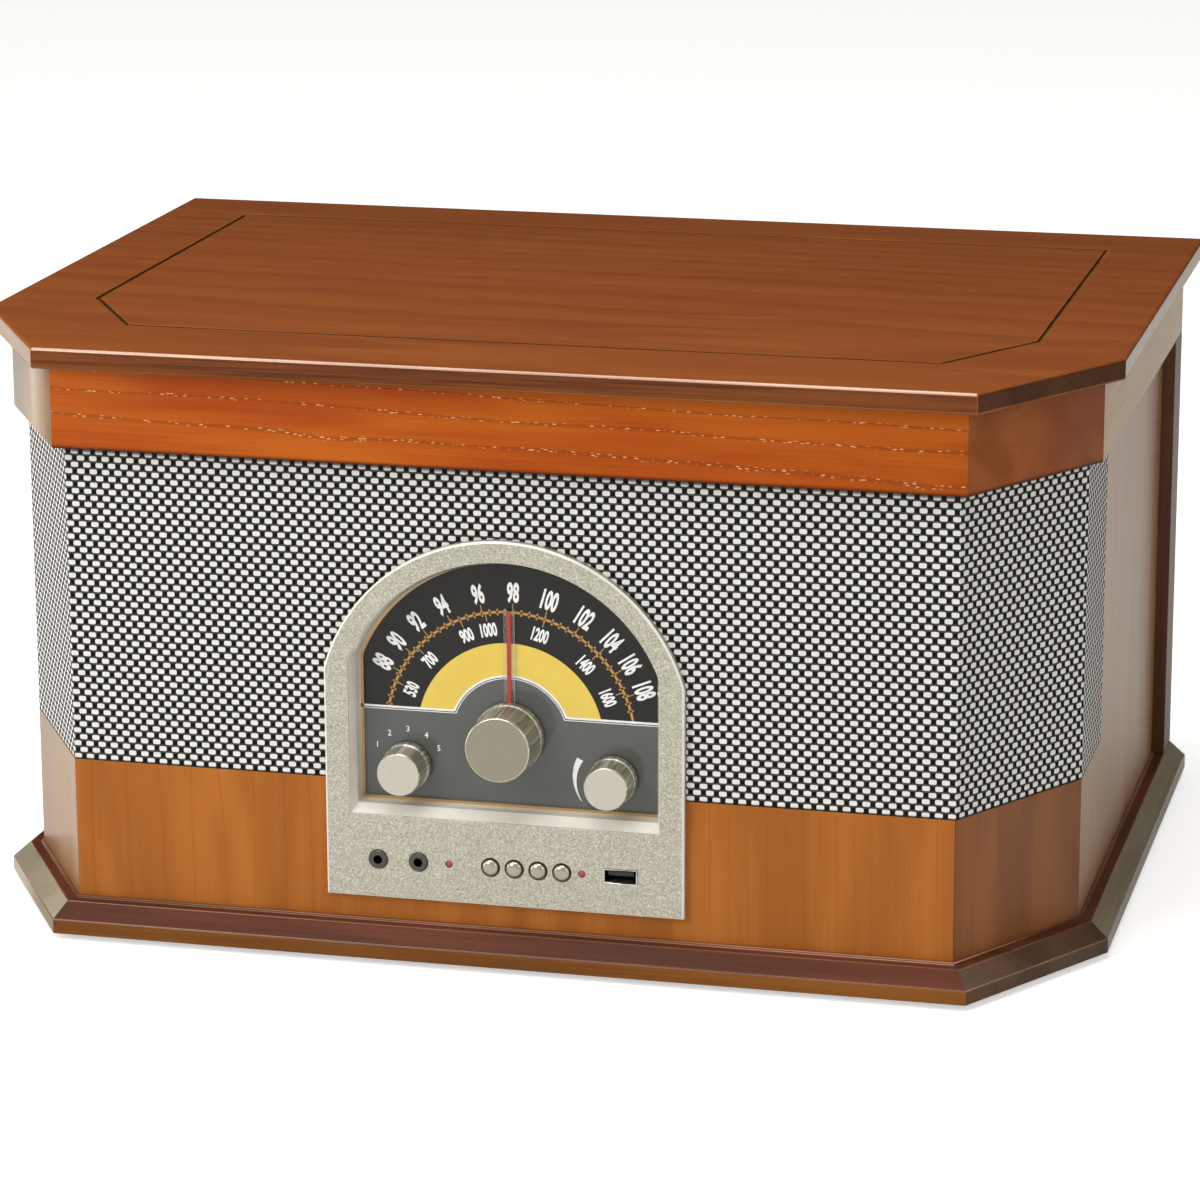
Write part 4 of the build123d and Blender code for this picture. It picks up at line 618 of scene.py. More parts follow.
def soften(piece: Piece, width: float, angle: float = 30.0, segments: int = 2, edge_slot: int = -1) -> Piece:
    """Rounds the sharp edges of a mesh and smooths its curves.

    Args:
        piece: Mesh object.
        width: Width of the rounding in millimetres, or zero for none.
        angle: Edges sharper than this stay edges.
        segments: Steps in the rounding.
        edge_slot: Material slot of the rounding, or -1 for its neighbour's.

    Returns:
        The finished plain mesh object.
    """
    piece.data.shade_smooth()
    if width:
        bevel = piece.modifiers.new("edges", "BEVEL")
        bevel.width = width * MM
        bevel.segments = segments
        bevel.limit_method = "ANGLE"
        bevel.angle_limit = math.radians(angle)
        bevel.material = edge_slot
        bevel.miter_outer = "MITER_ARC"
        flat = piece.modifiers.new("flat faces", "WEIGHTED_NORMAL")
        flat.weight = 100
    else:
        piece.data.set_sharp_from_angle(angle=math.radians(angle))
    return plain(piece)


def copied(node: str) -> Piece:
    """Copies a CAD node's mesh and joins its loose triangles.

    Args:
        node: Name of the node; the copy's name has an ending more.

    Returns:
        The copy, on no body yet.
    """
    mesh = FRAME["nodes"][node].data.copy()
    mesh.materials.clear()
    body = bmesh.new()
    body.from_mesh(mesh)
    bmesh.ops.remove_doubles(body, verts=body.verts, dist=2e-6)
    bmesh.ops.dissolve_limit(body, angle_limit=math.radians(0.3), verts=body.verts, edges=body.edges)
    body.to_mesh(mesh)
    body.free()
    return link(node + ".finished", mesh)


def refined(node: str, finish: Finish, width: float) -> Piece:
    """Replaces a CAD node by its own shape with rounded edges and a finish.

    Args:
        node: Name of the node.
        finish: What it is made of.
        width: Width of the rounding in millimetres, or zero for none.

    Returns:
        The new piece.
    """
    piece = soften(copied(node), width)
    return settle(piece, body_of(node), slot_of(node), finish, (node,))


def parted(node: str, finishes: Sequence[Finish], rule: Rule, width: float = 0.0,
           edge: Optional[Finish] = None, segments: int = 2) -> Piece:
    """Replaces a CAD node by its own shape with more than one finish.

    Args:
        node: Name of the node.
        finishes: The finishes that the rule chooses from.
        rule: Takes a face's middle in millimetres and its normal, and gives the number of its finish.
        width: Width of the rounding in millimetres.
        edge: Finish of the rounding, where it differs from its neighbours'.
        segments: Steps in the rounding.

    Returns:
        The new piece.
    """
    piece = copied(node)
    for finish in (*finishes, edge or finishes[0]):
        piece.data.materials.append(finish.material())
    for face in piece.data.polygons:
        face.material_index = rule(face.center / MM, face.normal)
    piece = soften(piece, width, segments=segments, edge_slot=len(finishes) if edge else -1)
    return settle(piece, body_of(node), slot_of(node), None, (node,))


def slot_of(node: str) -> str:
    """Finds the record's material slot of a CAD node.

    Args:
        node: Name of the node.

    Returns:
        The slot's name.
    """
    for part in FRAME["record"]["subparts"]:
        if part["node"] == node:
            return part["material_slot"]
    raise KeyError(node)


def dress(finish: Finish, *nodes: str) -> None:
    """Gives CAD nodes a finish and leaves their shape alone.

    Args:
        finish: What they are made of.
        *nodes: Names of the nodes.
    """
    for node in nodes:
        kept = FRAME["nodes"][node]
        if not kept.material_slots:
            kept.data.materials.append(None)
        for held in kept.material_slots:
            held.material = finish.material()
        LOG.info("%s keeps its shape", node)


def lathe(name: str, outline: Points, middle: Sequence[float], steps: int) -> Piece:
    """Turns an outline about an upright axis.

    Args:
        name: Name of the piece.
        outline: Closed outline as radius and height, in millimetres.
        middle: Point on the axis, in millimetres.
        steps: Facets round the axis.

    Returns:
        A closed mesh object.
    """
    body = bmesh.new()
    rings = []
    for i in range(steps):
        a = 2 * math.pi * i / steps
        ring = [(r * math.cos(a), r * math.sin(a), h) for r, h in outline]
        rings.append([body.verts.new([(s + m) * MM for s, m in zip(spot, middle)]) for spot in ring])
    for i in range(steps):
        one, two = rings[i], rings[(i + 1) % steps]
        for j in range(len(outline)):
            k = (j + 1) % len(outline)
            body.faces.new((one[j], two[j], two[k], one[k]))
    bmesh.ops.remove_doubles(body, verts=body.verts, dist=1e-7)
    return closed(name, body)


def meshed(name: str, body: bmesh.types.BMesh) -> Piece:
    """Puts a mesh into the scene under a name, and frees what it was made in.

    Args:
        name: Name of the piece.
        body: Mesh in metres; it is freed.

    Returns:
        The mesh object.
    """
    mesh = bpy.data.meshes.new(name)
    body.to_mesh(mesh)
    body.free()
    return link(name, mesh)


def closed(name: str, body: bmesh.types.BMesh) -> Piece:
    """Turns the faces of a mesh outwards and puts it into the scene.

    Args:
        name: Name of the piece.
        body: Mesh in metres; it is freed.

    Returns:
        The mesh object.
    """
    flat = [face for face in body.faces if face.calc_area() < 1e-13]
    bmesh.ops.delete(body, geom=flat, context="FACES_ONLY")
    bmesh.ops.recalc_face_normals(body, faces=body.faces)
    return meshed(name, body)


def print_band(name: str, near: Points, far: Points, face: float, thickness: float,
               loop: bool = False) -> Piece:
    """Makes a thin printed band between two lines on an upright plane.

    Args:
        name: Name of the piece.
        near: One line as x and z in millimetres.
        far: The other line, point for point.
        face: The plane's y in millimetres.
        thickness: How far the band stands forward.
        loop: Whether the band closes on itself.

    Returns:
        A closed mesh object.
    """
    body = bmesh.new()
    front = face - thickness
    rows = []
    for a, b in zip(near, far):
        ring = ((a, face), (b, face), (b, front), (a, front))
        rows.append([body.verts.new((x * MM, y * MM, z * MM)) for (x, z), y in ring])
    count = len(rows)
    for i in range(count if loop else count - 1):
        one, two = rows[i], rows[(i + 1) % count]
        for j in range(4):
            body.faces.new((one[j], two[j], two[(j + 1) % 4], one[(j + 1) % 4]))
    if not loop:
        body.faces.new(rows[0])
        body.faces.new(rows[-1])
    return closed(name, body)


def spaced(end: float, steps: int) -> list[float]:
    """Gives even steps from minus a value to the value."""
    return [end * (2 * i / steps - 1) for i in range(steps + 1)]


def numeral(text: str, height: float, width: float, spot: Matrix, weight: float = 0.0) -> Piece:
    """Makes a printed number of a given height.

    Args:
        text: The digits.
        height: Height in millimetres.
        width: How far the digits are drawn in across, one for not at all.
        spot: Where its middle goes; the number reads along X, with its top along Z.
        weight: How far its lines are thickened, as a share of its height.

    Returns:
        A thin mesh object.
    """
    curve = bpy.data.curves.new("number." + text, "FONT")
    curve.body = text
    curve.size = height * MM
    curve.offset = weight * height * MM
    curve.extrude = 0.02 * MM
    curve.resolution_u = 3
    made = plain(link("number." + text, curve))
    low = Vector([min(v.co[i] for v in made.data.vertices) for i in range(3)])
    high = Vector([max(v.co[i] for v in made.data.vertices) for i in range(3)])
    size = high - low
    grow = height * MM / size.y
    fit = Matrix.Diagonal((width * grow, grow, 1.0, 1.0))
    upright = Matrix.Rotation(math.radians(90), 4, "X")
    made.data.transform(spot @ upright @ fit @ Matrix.Translation(-(low + high) / 2))
    return made


def joined(name: str, parts: Sequence[Piece]) -> Piece:
    """Joins mesh objects into one.

    Args:
        name: Name of the result.
        parts: Plain mesh objects at the origin; they are removed.

    Returns:
        The joined object.
    """
    body = bmesh.new()
    for part in parts:
        body.from_mesh(part.data)
        bpy.data.objects.remove(part)
    return meshed(name, body)


def arc_points(radius: float, start: float, end: float, middle: Pair, steps: int) -> list[Pair]:
    """Gives points on an arc; angles are in degrees clockwise from straight up."""
    angles = [math.radians(start + (end - start) * i / steps) for i in range(steps + 1)]
    return [(middle[0] + radius * math.sin(a), middle[1] + radius * math.cos(a)) for a in angles]


@dataclass
class Spread:
    """Copies of one shape at even steps round a centre, made with Geometry Nodes.

    The copies stand on a circle in the XZ plane, clockwise from straight up, and are then turned and moved.
    Sizes are in millimetres and angles in degrees.
    """

    name: str
    radius: float
    count: int
    start: float
    sweep: float
    size: Triple
    middle: Triple
    tilt: Triple = (0.0, 0.0, 0.0)
    round_ends: bool = False
    lean: float = 0.0

    def tree(self, finish: Finish) -> bpy.types.GeometryNodeTree:
        """Builds the tree; its sizes are inputs in metres and radians.

        Args:
            finish: What the copies are made of.

        Returns:
            The tree.
        """
        tree = bpy.data.node_groups.new("spread " + self.name, "GeometryNodeTree")
        tree.interface.new_socket("Geometry", in_out="OUTPUT", socket_type="NodeSocketGeometry")
        for label, kind in (("Radius", "NodeSocketFloat"), ("Count", "NodeSocketInt"),
                            ("Start", "NodeSocketFloat"), ("Sweep", "NodeSocketFloat"),
                            ("Size", "NodeSocketVector"), ("Middle", "NodeSocketVector"),
                            ("Tilt", "NodeSocketVector"), ("Lean", "NodeSocketFloat")):
            tree.interface.new_socket(label, in_out="INPUT", socket_type=kind)
        given = add(tree, "NodeGroupInput").node.outputs
        points = add(tree, "GeometryNodeMeshLine", {"Count": given["Count"]})
        index = add(tree, "GeometryNodeInputIndex")
        share = add(tree, "ShaderNodeMath", {0: index, 1: given["Count"]}, operation="DIVIDE")
        angle = add(tree, "ShaderNodeMath", {0: share, 1: given["Sweep"], 2: given["Start"]},
                    operation="MULTIPLY_ADD")
        across = add(tree, "ShaderNodeMath", {0: angle}, operation="SINE")
        up = add(tree, "ShaderNodeMath", {0: angle}, operation="COSINE")
        spot = add(tree, "ShaderNodeCombineXYZ", {0: across, 2: up})
        spot = add(tree, "ShaderNodeVectorMath", {0: spot, 3: given["Radius"]}, operation="SCALE")
        placed = add(tree, "GeometryNodeSetPosition", {"Geometry": points, "Position": spot})
        turn = add(tree, "ShaderNodeCombineXYZ", {0: given["Lean"], 1: angle})
        if self.round_ends:
            shape = add(tree, "GeometryNodeMeshCylinder", {"Vertices": 12, "Radius": 0.5, "Depth": 1.0})
            shape = add(tree, "GeometryNodeTransform",
                        {"Geometry": shape, "Rotation": (math.radians(90), 0.0, 0.0),
                         "Scale": given["Size"]})
        else:
            shape = add(tree, "GeometryNodeMeshCube", {"Size": given["Size"]})
        copies = add(tree, "GeometryNodeInstanceOnPoints",
                     {"Points": placed, "Instance": shape, "Rotation": turn})
        solid = add(tree, "GeometryNodeRealizeInstances", {"Geometry": copies})
        moved = add(tree, "GeometryNodeTransform",
                    {"Geometry": solid, "Translation": given["Middle"], "Rotation": given["Tilt"]})
        dressed = add(tree, "GeometryNodeSetMaterial", {"Geometry": moved, "Material": finish.material()})
        add(tree, "NodeGroupOutput", {"Geometry": dressed})
        return tree

    def build(self, finish: Finish) -> Piece:
        """Runs the tree and hands back a plain mesh.

        Args:
            finish: What the copies are made of.

        Returns:
            The mesh object.
        """
        holder = link(self.name, bpy.data.meshes.new(self.name))
        run_tree(holder, self.tree(finish), {
            "Radius": self.radius * MM, "Count": self.count, "Start": math.radians(self.start),
            "Sweep": math.radians(self.sweep), "Size": [s * MM for s in self.size],
            "Middle": [m * MM for m in self.middle], "Tilt": [math.radians(t) for t in self.tilt],
            "Lean": math.radians(self.lean)})
        return plain(holder)


def run_tree(holder: Piece, tree: bpy.types.GeometryNodeTree, values: dict) -> None:
    """Puts a Geometry Nodes tree on an object and sets its inputs by their identifiers.

    Args:
        holder: Object that takes the modifier.
        tree: The tree.
        values: Input values by the input's name.
    """
    modifier = holder.modifiers.new("made", "NODES")
    modifier.node_group = tree
    for item in tree.interface.items_tree:
        if item.item_type == "SOCKET" and item.in_out == "INPUT" and item.name in values:
            modifier[item.identifier] = values[item.name]


# Cherry veneer under satin lacquer: warm brown, soft long streaks, little gloss, and painted shade to the
# back.
LID_WOOD = Veneer("lacquered cherry veneer", pale="9C5626", deep="8E4A1E", line="5E2E14", roughness=0.36,
                  specular=0.06, fibre=0.6, arcs=0.22, painted_shade=0.42, arc_side=Axis.Y,
                  arc_middle=(0.02, -0.16), arc_size=(170, 60))
# The lid's solid edge takes more stain than its veneer, so it is darker and a little glossier.
LID_EDGE = Veneer("dark lid edge", pale="7E441E", deep="522A12", line="3A1A0C", roughness=0.34,
                  specular=0.15, fibre=0.6)
# The underside has the stain without the rubbing down, so it is duller.
LID_UNDER = Veneer("satin lid underside", pale="8A5028", deep="6E3C1C", line="5A2C14", roughness=0.5,
                   specular=0.2, arcs=0.25, arc_side=Axis.Y, arc_size=(170, 60))
# Oiled oak: bright orange, with pale open pores that lie along its growth lines; painted shade darkens its
# foot.
APRON_WOOD = Veneer("oiled oak veneer", pale="BE6016", deep="A4440C", line="8A3A0C", roughness=0.42,
                    specular=0.12, fibre=0.28, arcs=0.6, arc_line=(0.82, 0.98), arc_middle=(-0.09, 0.184),
                    arc_size=(230, 19), pores=1.0, pore_size=(3.2, 0.8), pore_colour="F4BE84",
                    foot_shade=0.2006, sway=1.5)
# Stained maple: a close upright grain, hardly a pore, and painted shade in a dark line where it meets the
# plinth.
BAND_WOOD = Veneer("stained maple veneer", pale="B46C2A", deep="A05C20", line="7C3E16", grain=Axis.Z,
                   roughness=0.42, specular=0.15, fibre=0.2, arcs=0.22, arc_line=(0.9, 1.0),
                   arc_side=Axis.X, arc_middle=(-0.9, -0.4), arc_size=(500, 60), sway=1.2, foot_shade=0.0145)
# The mitred corners turn away from the light; their browner tone is painted shade.
SHADED_CORNER = Veneer("stained corner in painted shade", pale="9A6236", deep="84502C", line="6A3A1C", grain=Axis.Z,
                      roughness=0.42, specular=0.15, fibre=0.4)
# The left side is lacquered more thickly, and at a grazing look it mirrors the pale room;
# its greyer tone is a painted reflection of it.
GLOSSY_SIDE_REFLECTION = Veneer("glossy left side with painted reflection", pale="9A6C34", deep="8A5C2A", line="6E4620", grain=Axis.Z,
                    roughness=0.3, specular=0.45, coat=0.4, coat_roughness=0.32, fibre=0.4)
# The right side has the same lacquer, with its grain still to be seen; its pale tone is a painted reflection.
RIGHT_SIDE_REFLECTION = Veneer("right side with painted reflection", pale="A87E50", deep="8C643C", line="70502F", grain=Axis.Z,
                    roughness=0.36, specular=0.35, coat=0.4, fibre=0.55, coat_roughness=0.2)
# Dark stained beech: almost plain, with a low sheen.
PLINTH_WOOD = Veneer("dark stained beech", pale="6A3A28", deep="502C1C", line="34180F", roughness=0.4,
                     specular=0.1, arcs=0.12, arc_size=(90, 20))
# The lip under the bevel is rubbed to a lighter brown.
PLINTH_LIP = Veneer("brown stained lip", pale="8E5824", deep="6E4218", line="4A2814", roughness=0.36,
                    specular=0.12)
# A rounded edge's lighter tone is a painted highlight, and its glossy coat draws a thin bright line along it.
POLISHED_HIGHLIGHT_EDGE = Veneer("lacquer edge with painted highlight", pale="A87458", deep="86583E", line="6E442C", roughness=0.24,
                       specular=0.5, coat=0.8, coat_roughness=0.18)
# Bare fibreboard is flecked and quite dull.
FIBREBOARD = Moulded("bare fibreboard", colour="8A6A46", second="745636", roughness=0.85, fleck=1.4,
                     texture=0.5, depth=0.3)
# Inside faces are stained once and stay matt.
LINING = Veneer("stained lining", pale="6E4424", deep="54321A", line="402410", roughness=0.5,
                specular=0.15, fibre=0.5)
# Painted hardboard is nearly black and shows a faint pressed texture.
HARDBOARD = Moulded("painted hardboard", colour="1E1512", second="2C201B", roughness=0.7, fleck=1.2,
                    texture=0.9, depth=0.5)
# Matt rubber keeps only a soft bloom of light.
RUBBER = Moulded("matt rubber", colour="0D0D0E", second="17171A", roughness=0.85, fleck=3.0, texture=0.3,
                 sheen=0.1)
# The cloth's threads are drawn by their class.
CLOTH = GrilleWeave("woven grille cloth")
# Flake paint sparkles in points, and reads as pale champagne from afar.
CHAMPAGNE = FlakePaint("champagne flake paint")
# The bezel's slope has no flakes and is polished; its almost white tone is a painted highlight.
RIM_HIGHLIGHT = Moulded("champagne rim with painted highlight", colour="F0ECE2", second="F8F4EC", roughness=0.25, coat=0.5)
# The bezel's rounded edge is polished, and catches a thin bright line.
BRIGHT_RIM = Metal("polished rim", colour="F8F4EC", roughness=0.16, depth=0.03)
# Chrome mirrors the room with hardly any blur.
CHROME = Metal("chrome plate", colour="E6E6E4", roughness=0.07, depth=0.05)
# Hot-pressed foil glints softly and stays yellow-brown in the shade.
GOLD = Metal("gold foil line", colour="CAAA78", roughness=0.45)
# Zinc plate is pale grey with fine lines from rolling.
STEEL = Metal("zinc plated steel", colour="B8BCC0", roughness=0.3, brushed=Axis.X)
# Blackened steel screws keep a dull metal glint.
BLACK_HEAD = Metal("blackened screw steel", colour="3A3A3C", roughness=0.35)
# Satin brass is brushed upright, which gives it soft streaks of light.
BRASS = Metal("satin brass", colour="C8A050", roughness=0.28, brushed=Axis.Z)
# The dial's ground lies under a gloss varnish that greys it with the room's light.
DIAL_GREY = Moulded("printed dial ground", colour="525451", second="585A57", roughness=0.34, fleck=30,
                    specular=0.2, coat=1.0, depth=0.02)
# The upper ink is a warm black under the same varnish.
DIAL_BLACK = Moulded("dial upper ink", colour="1E1D1A", second="242320", roughness=0.3, fleck=26,
                     specular=0.1, coat=0.5, depth=0.02)
# Opaque yellow ink, with a thin varnish over it.
YELLOW_INK = Moulded("yellow dial ink", colour="E9C84F", second="EDCF5C", roughness=0.36, fleck=18,
                     coat=0.3, depth=0.03)
# Ochre ink is thin, so the scale's line and marks look brownish.
OCHRE_INK = Moulded("ochre scale ink", colour="B98A48", second="C49654", roughness=0.4, fleck=5, depth=0.03)
# Opaque white ink is flat and even.
WHITE_INK = Moulded("white dial ink", colour="F2F0EC", second="FFFFFF", roughness=0.4, fleck=4, depth=0.03)
# The pointer's ink is a soft red seen through the clear blade.
RED_INK = Moulded("red pointer ink", colour="B03A30", second="BC463A", roughness=0.4, fleck=5, depth=0.03)
# Cast acrylic is clear and smooth, and bends light a little more than water.
ACRYLIC = Moulded("clear acrylic", colour="FFFFFF", second="FFFFFF", roughness=0.06, texture=2.0,
                  depth=0.01, clear=1.0, ior=1.49)
# Moulded black plastic has a fine spark-eroded texture.
BLACK_PLASTIC = Moulded("black moulded plastic", colour="101013", second="17171B", roughness=0.42,
                        texture=0.35, depth=0.2)
# Gloss black plastic shows clean dark reflections.
GLOSS_BLACK = Moulded("gloss black plastic", colour="0C0C0E", second="111114", roughness=0.2, texture=1.5,
                      depth=0.03, coat=0.3)
# The jacks' nickel collars have dulled to a dark grey.
JACK_GREY = Metal("nickel jack collar", colour="5C5C56", roughness=0.35)
# The buttons are sprayed with a smooth metal paint that mirrors the room.
BUTTON_SKIN = Metal("champagne button", colour="B6B2A0", roughness=0.2, depth=0.06)
# The unlit lamps are a milky dull red.
LAMP_LENS = Moulded("dull red lens", colour="A03038", second="B84850", roughness=0.35, fleck=0.9, coat=0.4,
                    texture=0.3)


def knob_finishes(name: str, tone: str, x: float, z: float) -> tuple[Metal, FlakePaint]:
    """Gives a knob its turned face and its bright side, both centred on its shaft.

    Args:
        name: Name of the knob.
        tone: Colour of its face.
        x: Shaft's place across, in millimetres.
        z: Shaft's height, in millimetres.

    Returns:
        The face's finish and the side's.
    """
    face = Metal("turned " + name + " face", colour=tone, roughness=0.36, turned_at=(x * MM, 0.0, z * MM),
                 lines=0.7, depth=1.2)
    side = FlakePaint("plated " + name + " side", mean="BAB5A4", bright="FAF8F2", dark="736E5C", flake=0.9,
                      drawn=30.0, metallic=0.65, roughness=0.3)
    return face, side


@dataclass
class Cabinet:
    """Carcass: plinth, boards, apron, rear frame, back and feet.

    Faces in front of `front_part` belong to the front, and the plinth's bead ends at `bead_back`.
    """

    plinth_top: float = 14.5
    lip_top: float = 8.5
    board_edge: float = 0.35
    front_part: float = -140.0
    bead_back: float = 139.0

    def build(self) -> None:
        """Rounds the boards' edges and dresses each by its grain, painting light and shade into each side's
        tone.
        """
        # Each side of the cabinet meets the light differently, so each gets its own tone: painted shade on
        # the right corners, painted reflection on the sides and a painted highlight along the bead
        bead = Veneer("bead with painted highlight", pale="8E4E2C", deep="703A20", line="54280F", roughness=0.32, specular=0.3)
        gloss = replace_wood(GLOSSY_SIDE_REFLECTION, "glossy left plinth with painted reflection", "9A8E76", "8A7E68", coat=0.6, specular=0.4)
        corner = replace_wood(SHADED_CORNER, "plinth corner in painted shade", "5E4430", "4C3624", specular=0.25)
        right = replace_wood(RIGHT_SIDE_REFLECTION, "plinth right side with painted reflection", "8C806A", "766A54", grain=Axis.Y)
        parted("plinth_moulding", (PLINTH_WOOD, PLINTH_LIP, corner, gloss, bead, right), self.plinth_rule,
               width=0.35, edge=POLISHED_HIGHLIGHT_EDGE, segments=3)
        for board in ("front_board", "side_boards"):
            parted(board, (BAND_WOOD, SHADED_CORNER, GLOSSY_SIDE_REFLECTION, RIGHT_SIDE_REFLECTION, LINING), self.side_rule,
                   self.board_edge)
        # The apron's right corner gets painted shade, and its sides a painted reflection
        apron_corner_shade = replace_wood(APRON_WOOD, "oak corner in painted shade", "985630", "844822", pores=0.0, arcs=0.15)
        apron_left_reflection = replace_wood(GLOSSY_SIDE_REFLECTION, "glossy left oak with painted reflection", "94703C", "846030", grain=Axis.Y,
                                  coat=1.0, specular=0.5)
        apron_right_reflection = replace_wood(RIGHT_SIDE_REFLECTION, "oak right side with painted reflection", "BCA07A", "AA8A60", grain=Axis.Y)
        parted("apron_rails", (APRON_WOOD, apron_corner_shade, apron_left_reflection, apron_right_reflection, LINING), self.side_rule,
               self.board_edge)
        refined("rear_frame",
                replace_wood(RIGHT_SIDE_REFLECTION, "stained rear posts", "603A22", "4A2C18", coat=0.1, specular=0.2),
                self.board_edge)
        dress(FIBREBOARD, "base_board")
        refined("back_panel", HARDBOARD, width=0.3)
        refined("feet", RUBBER, width=0.8)

    def side_rule(self, centre: Vector, normal: Vector) -> int:
        """Tells apart the front, the right corner in painted shade, the glossy left and the right side with
        painted reflection, and the inside.

        Args:
            centre: The face's middle, in millimetres.
            normal: Its normal.

        Returns:
            Number of its finish.
        """
        inward = normal.x * centre.x + normal.y * centre.y < 0
        if normal.z > SQUARE or normal.y > SLANTED or inward:
            return 4
        if abs(normal.x) < SLANTED and centre.y < self.front_part:
            return 0
        if normal.x > SQUARE:
            return 3
        return 1 if SLANTED < normal.x else 2

    def plinth_rule(self, centre: Vector, normal: Vector) -> int:
        """Tells the bead, the bevel, the lip and the moulding's corners and sides apart.

        Args:
            centre: The face's middle, in millimetres.
            normal: Its normal.

        Returns:
            Number of its finish.
        """
        if centre.z > self.plinth_top + 0.05 and centre.y < self.bead_back:
            return 4
        if abs(normal.x) < 0.25 or normal.z > SQUARE:
            return 1 if centre.z < self.lip_top and normal.y < -0.9 else 0
        if normal.x > 0:
            return 2 if normal.y < -0.2 else 5
        return 3


def replace_wood(wood: Veneer, name: str, pale: str, deep: str, **changes: object) -> Veneer:
    """Gives the same veneer in another tone.

    Args:
        wood: Veneer to start from.
        name: Name of the new finish.
        pale: Its lighter tone.
        deep: Its darker tone.
        **changes: Other fields that differ.

    Returns:
        The new finish.
    """
    return replace(wood, name=name, pale=pale, deep=deep, **changes)


@dataclass
class Grille:
    """Cloth over its boards, with the speakers behind it."""

    front: float = -154.0
    front_half: float = 177.41
    corner_end: Pair = (216.5, -89.72)
    cloth_low: float = 72.5

    def build(self) -> None:
        """Lays the cloth's own map and dresses what is behind it."""
        cloth = soften(copied("grille_cloth"), 0.0)
        self.lay(cloth.data)
        settle(cloth, body_of("grille_cloth"), "cloth", CLOTH, ("grille_cloth",))
        dress(FIBREBOARD, "grille_frame")
        dress(STEEL, "speaker_frames")
        # Pressed paper is matt and fibrous
        paper = Moulded("pressed paper cone", colour="17171A", second="232327", roughness=0.9, fleck=0.8,
                        texture=0.5, depth=0.6)
        dress(paper, "speaker_cones")

    def lay(self, mesh: bpy.types.Mesh) -> None:
        """Maps the cloth by its length round the cabinet and its height, in metres.

        Args:
            mesh: The cloth's mesh.
        """
        corner = Vector((self.corner_end[0] - self.front_half, self.corner_end[1] - self.front))
        layer = mesh.uv_layers.new(name="weave")
        for face in mesh.polygons:
            for loop in face.loop_indices:
                spot = mesh.vertices[mesh.loops[loop].vertex_index].co / MM
                side = 1 if face.center.x > 0 else -1
                if abs(face.normal.x) > SQUARE:
                    run = side * (self.front_half + corner.length + spot.y - self.corner_end[1])
                elif abs(face.normal.x) > SLANTED:
                    step = Vector((abs(spot.x) - self.front_half, spot.y - self.front))
                    run = side * (self.front_half + corner.normalized().dot(step))
                else:
                    run = spot.x
                layer.data[loop].uv = (run * MM, (spot.z - self.cloth_low) * MM)


@dataclass
class Lid:
    """Lid board with its hinges and stay."""

    edge: float = 0.3
    top: float = 242.0
    groove_box: Triple = (200.0, -125.0, 134.0)

    def rule(self, centre: Vector, normal: Vector) -> int:
        """Tells the top, the groove, the front's rounding, each edge and the underside apart.

        Args:
            centre: The face's middle, in millimetres.
            normal: Its normal.

        Returns:
            Number of its finish.
        """
        side, front, back = self.groove_box
        outer = abs(centre.x) > side or centre.y < front or centre.y > back
        if outer and 0.25 < normal.z < 0.92 and normal.y < -SLANTED and abs(normal.x) < SLANTED:
            return 6
        if normal.z > 0.5:
            return 0 if outer or centre.z > self.top - 0.05 else 4
        if normal.z < -0.5:
            return 1
        if abs(normal.x) < SLANTED:
            return 2
        return 3 if SLANTED < normal.x < SQUARE else 5

    def build(self) -> None:
        """Dresses the board and its fittings."""
        # The scored groove is dull, and its dark tone is painted shade; the front's rounding is polished, and
        # its light tone is a painted highlight; the right corner has painted shade, the left corner and the
        # sides a painted reflection, and the other edges are rubbed
        corner = replace_wood(LID_EDGE, "lid corner in painted shade", "5A341C", "442412", specular=0.1, coat=0.0)
        gloss = replace_wood(GLOSSY_SIDE_REFLECTION, "glossy lid side with painted reflection", "A87E4C", "946C3E", grain=Axis.Y, coat=1.0,
                             specular=0.5)
        groove = replace_wood(LID_EDGE, "groove in painted shade", "542A14", "3C1E0E", specular=0.02, roughness=0.6)
        front_highlight = replace_wood(POLISHED_HIGHLIGHT_EDGE, "front rounding with painted highlight", "D2A68A", "B2826A", coat_roughness=0.16)
        rubbed = replace_wood(POLISHED_HIGHLIGHT_EDGE, "rubbed lid edge", "96602E", "7A4A22", coat=0.0,
                              specular=0.03, roughness=0.5)
        parted("lid_board", (LID_WOOD, LID_UNDER, LID_EDGE, corner, groove, gloss, front_highlight), self.rule,
               width=self.edge, edge=rubbed, segments=3)
        for node in ("hinge_leaves_lid", "hinge_leaves_cabinet", "stay_bracket", "stay_arm", "stay_track"):
            refined(node, BRASS, width=0.2)


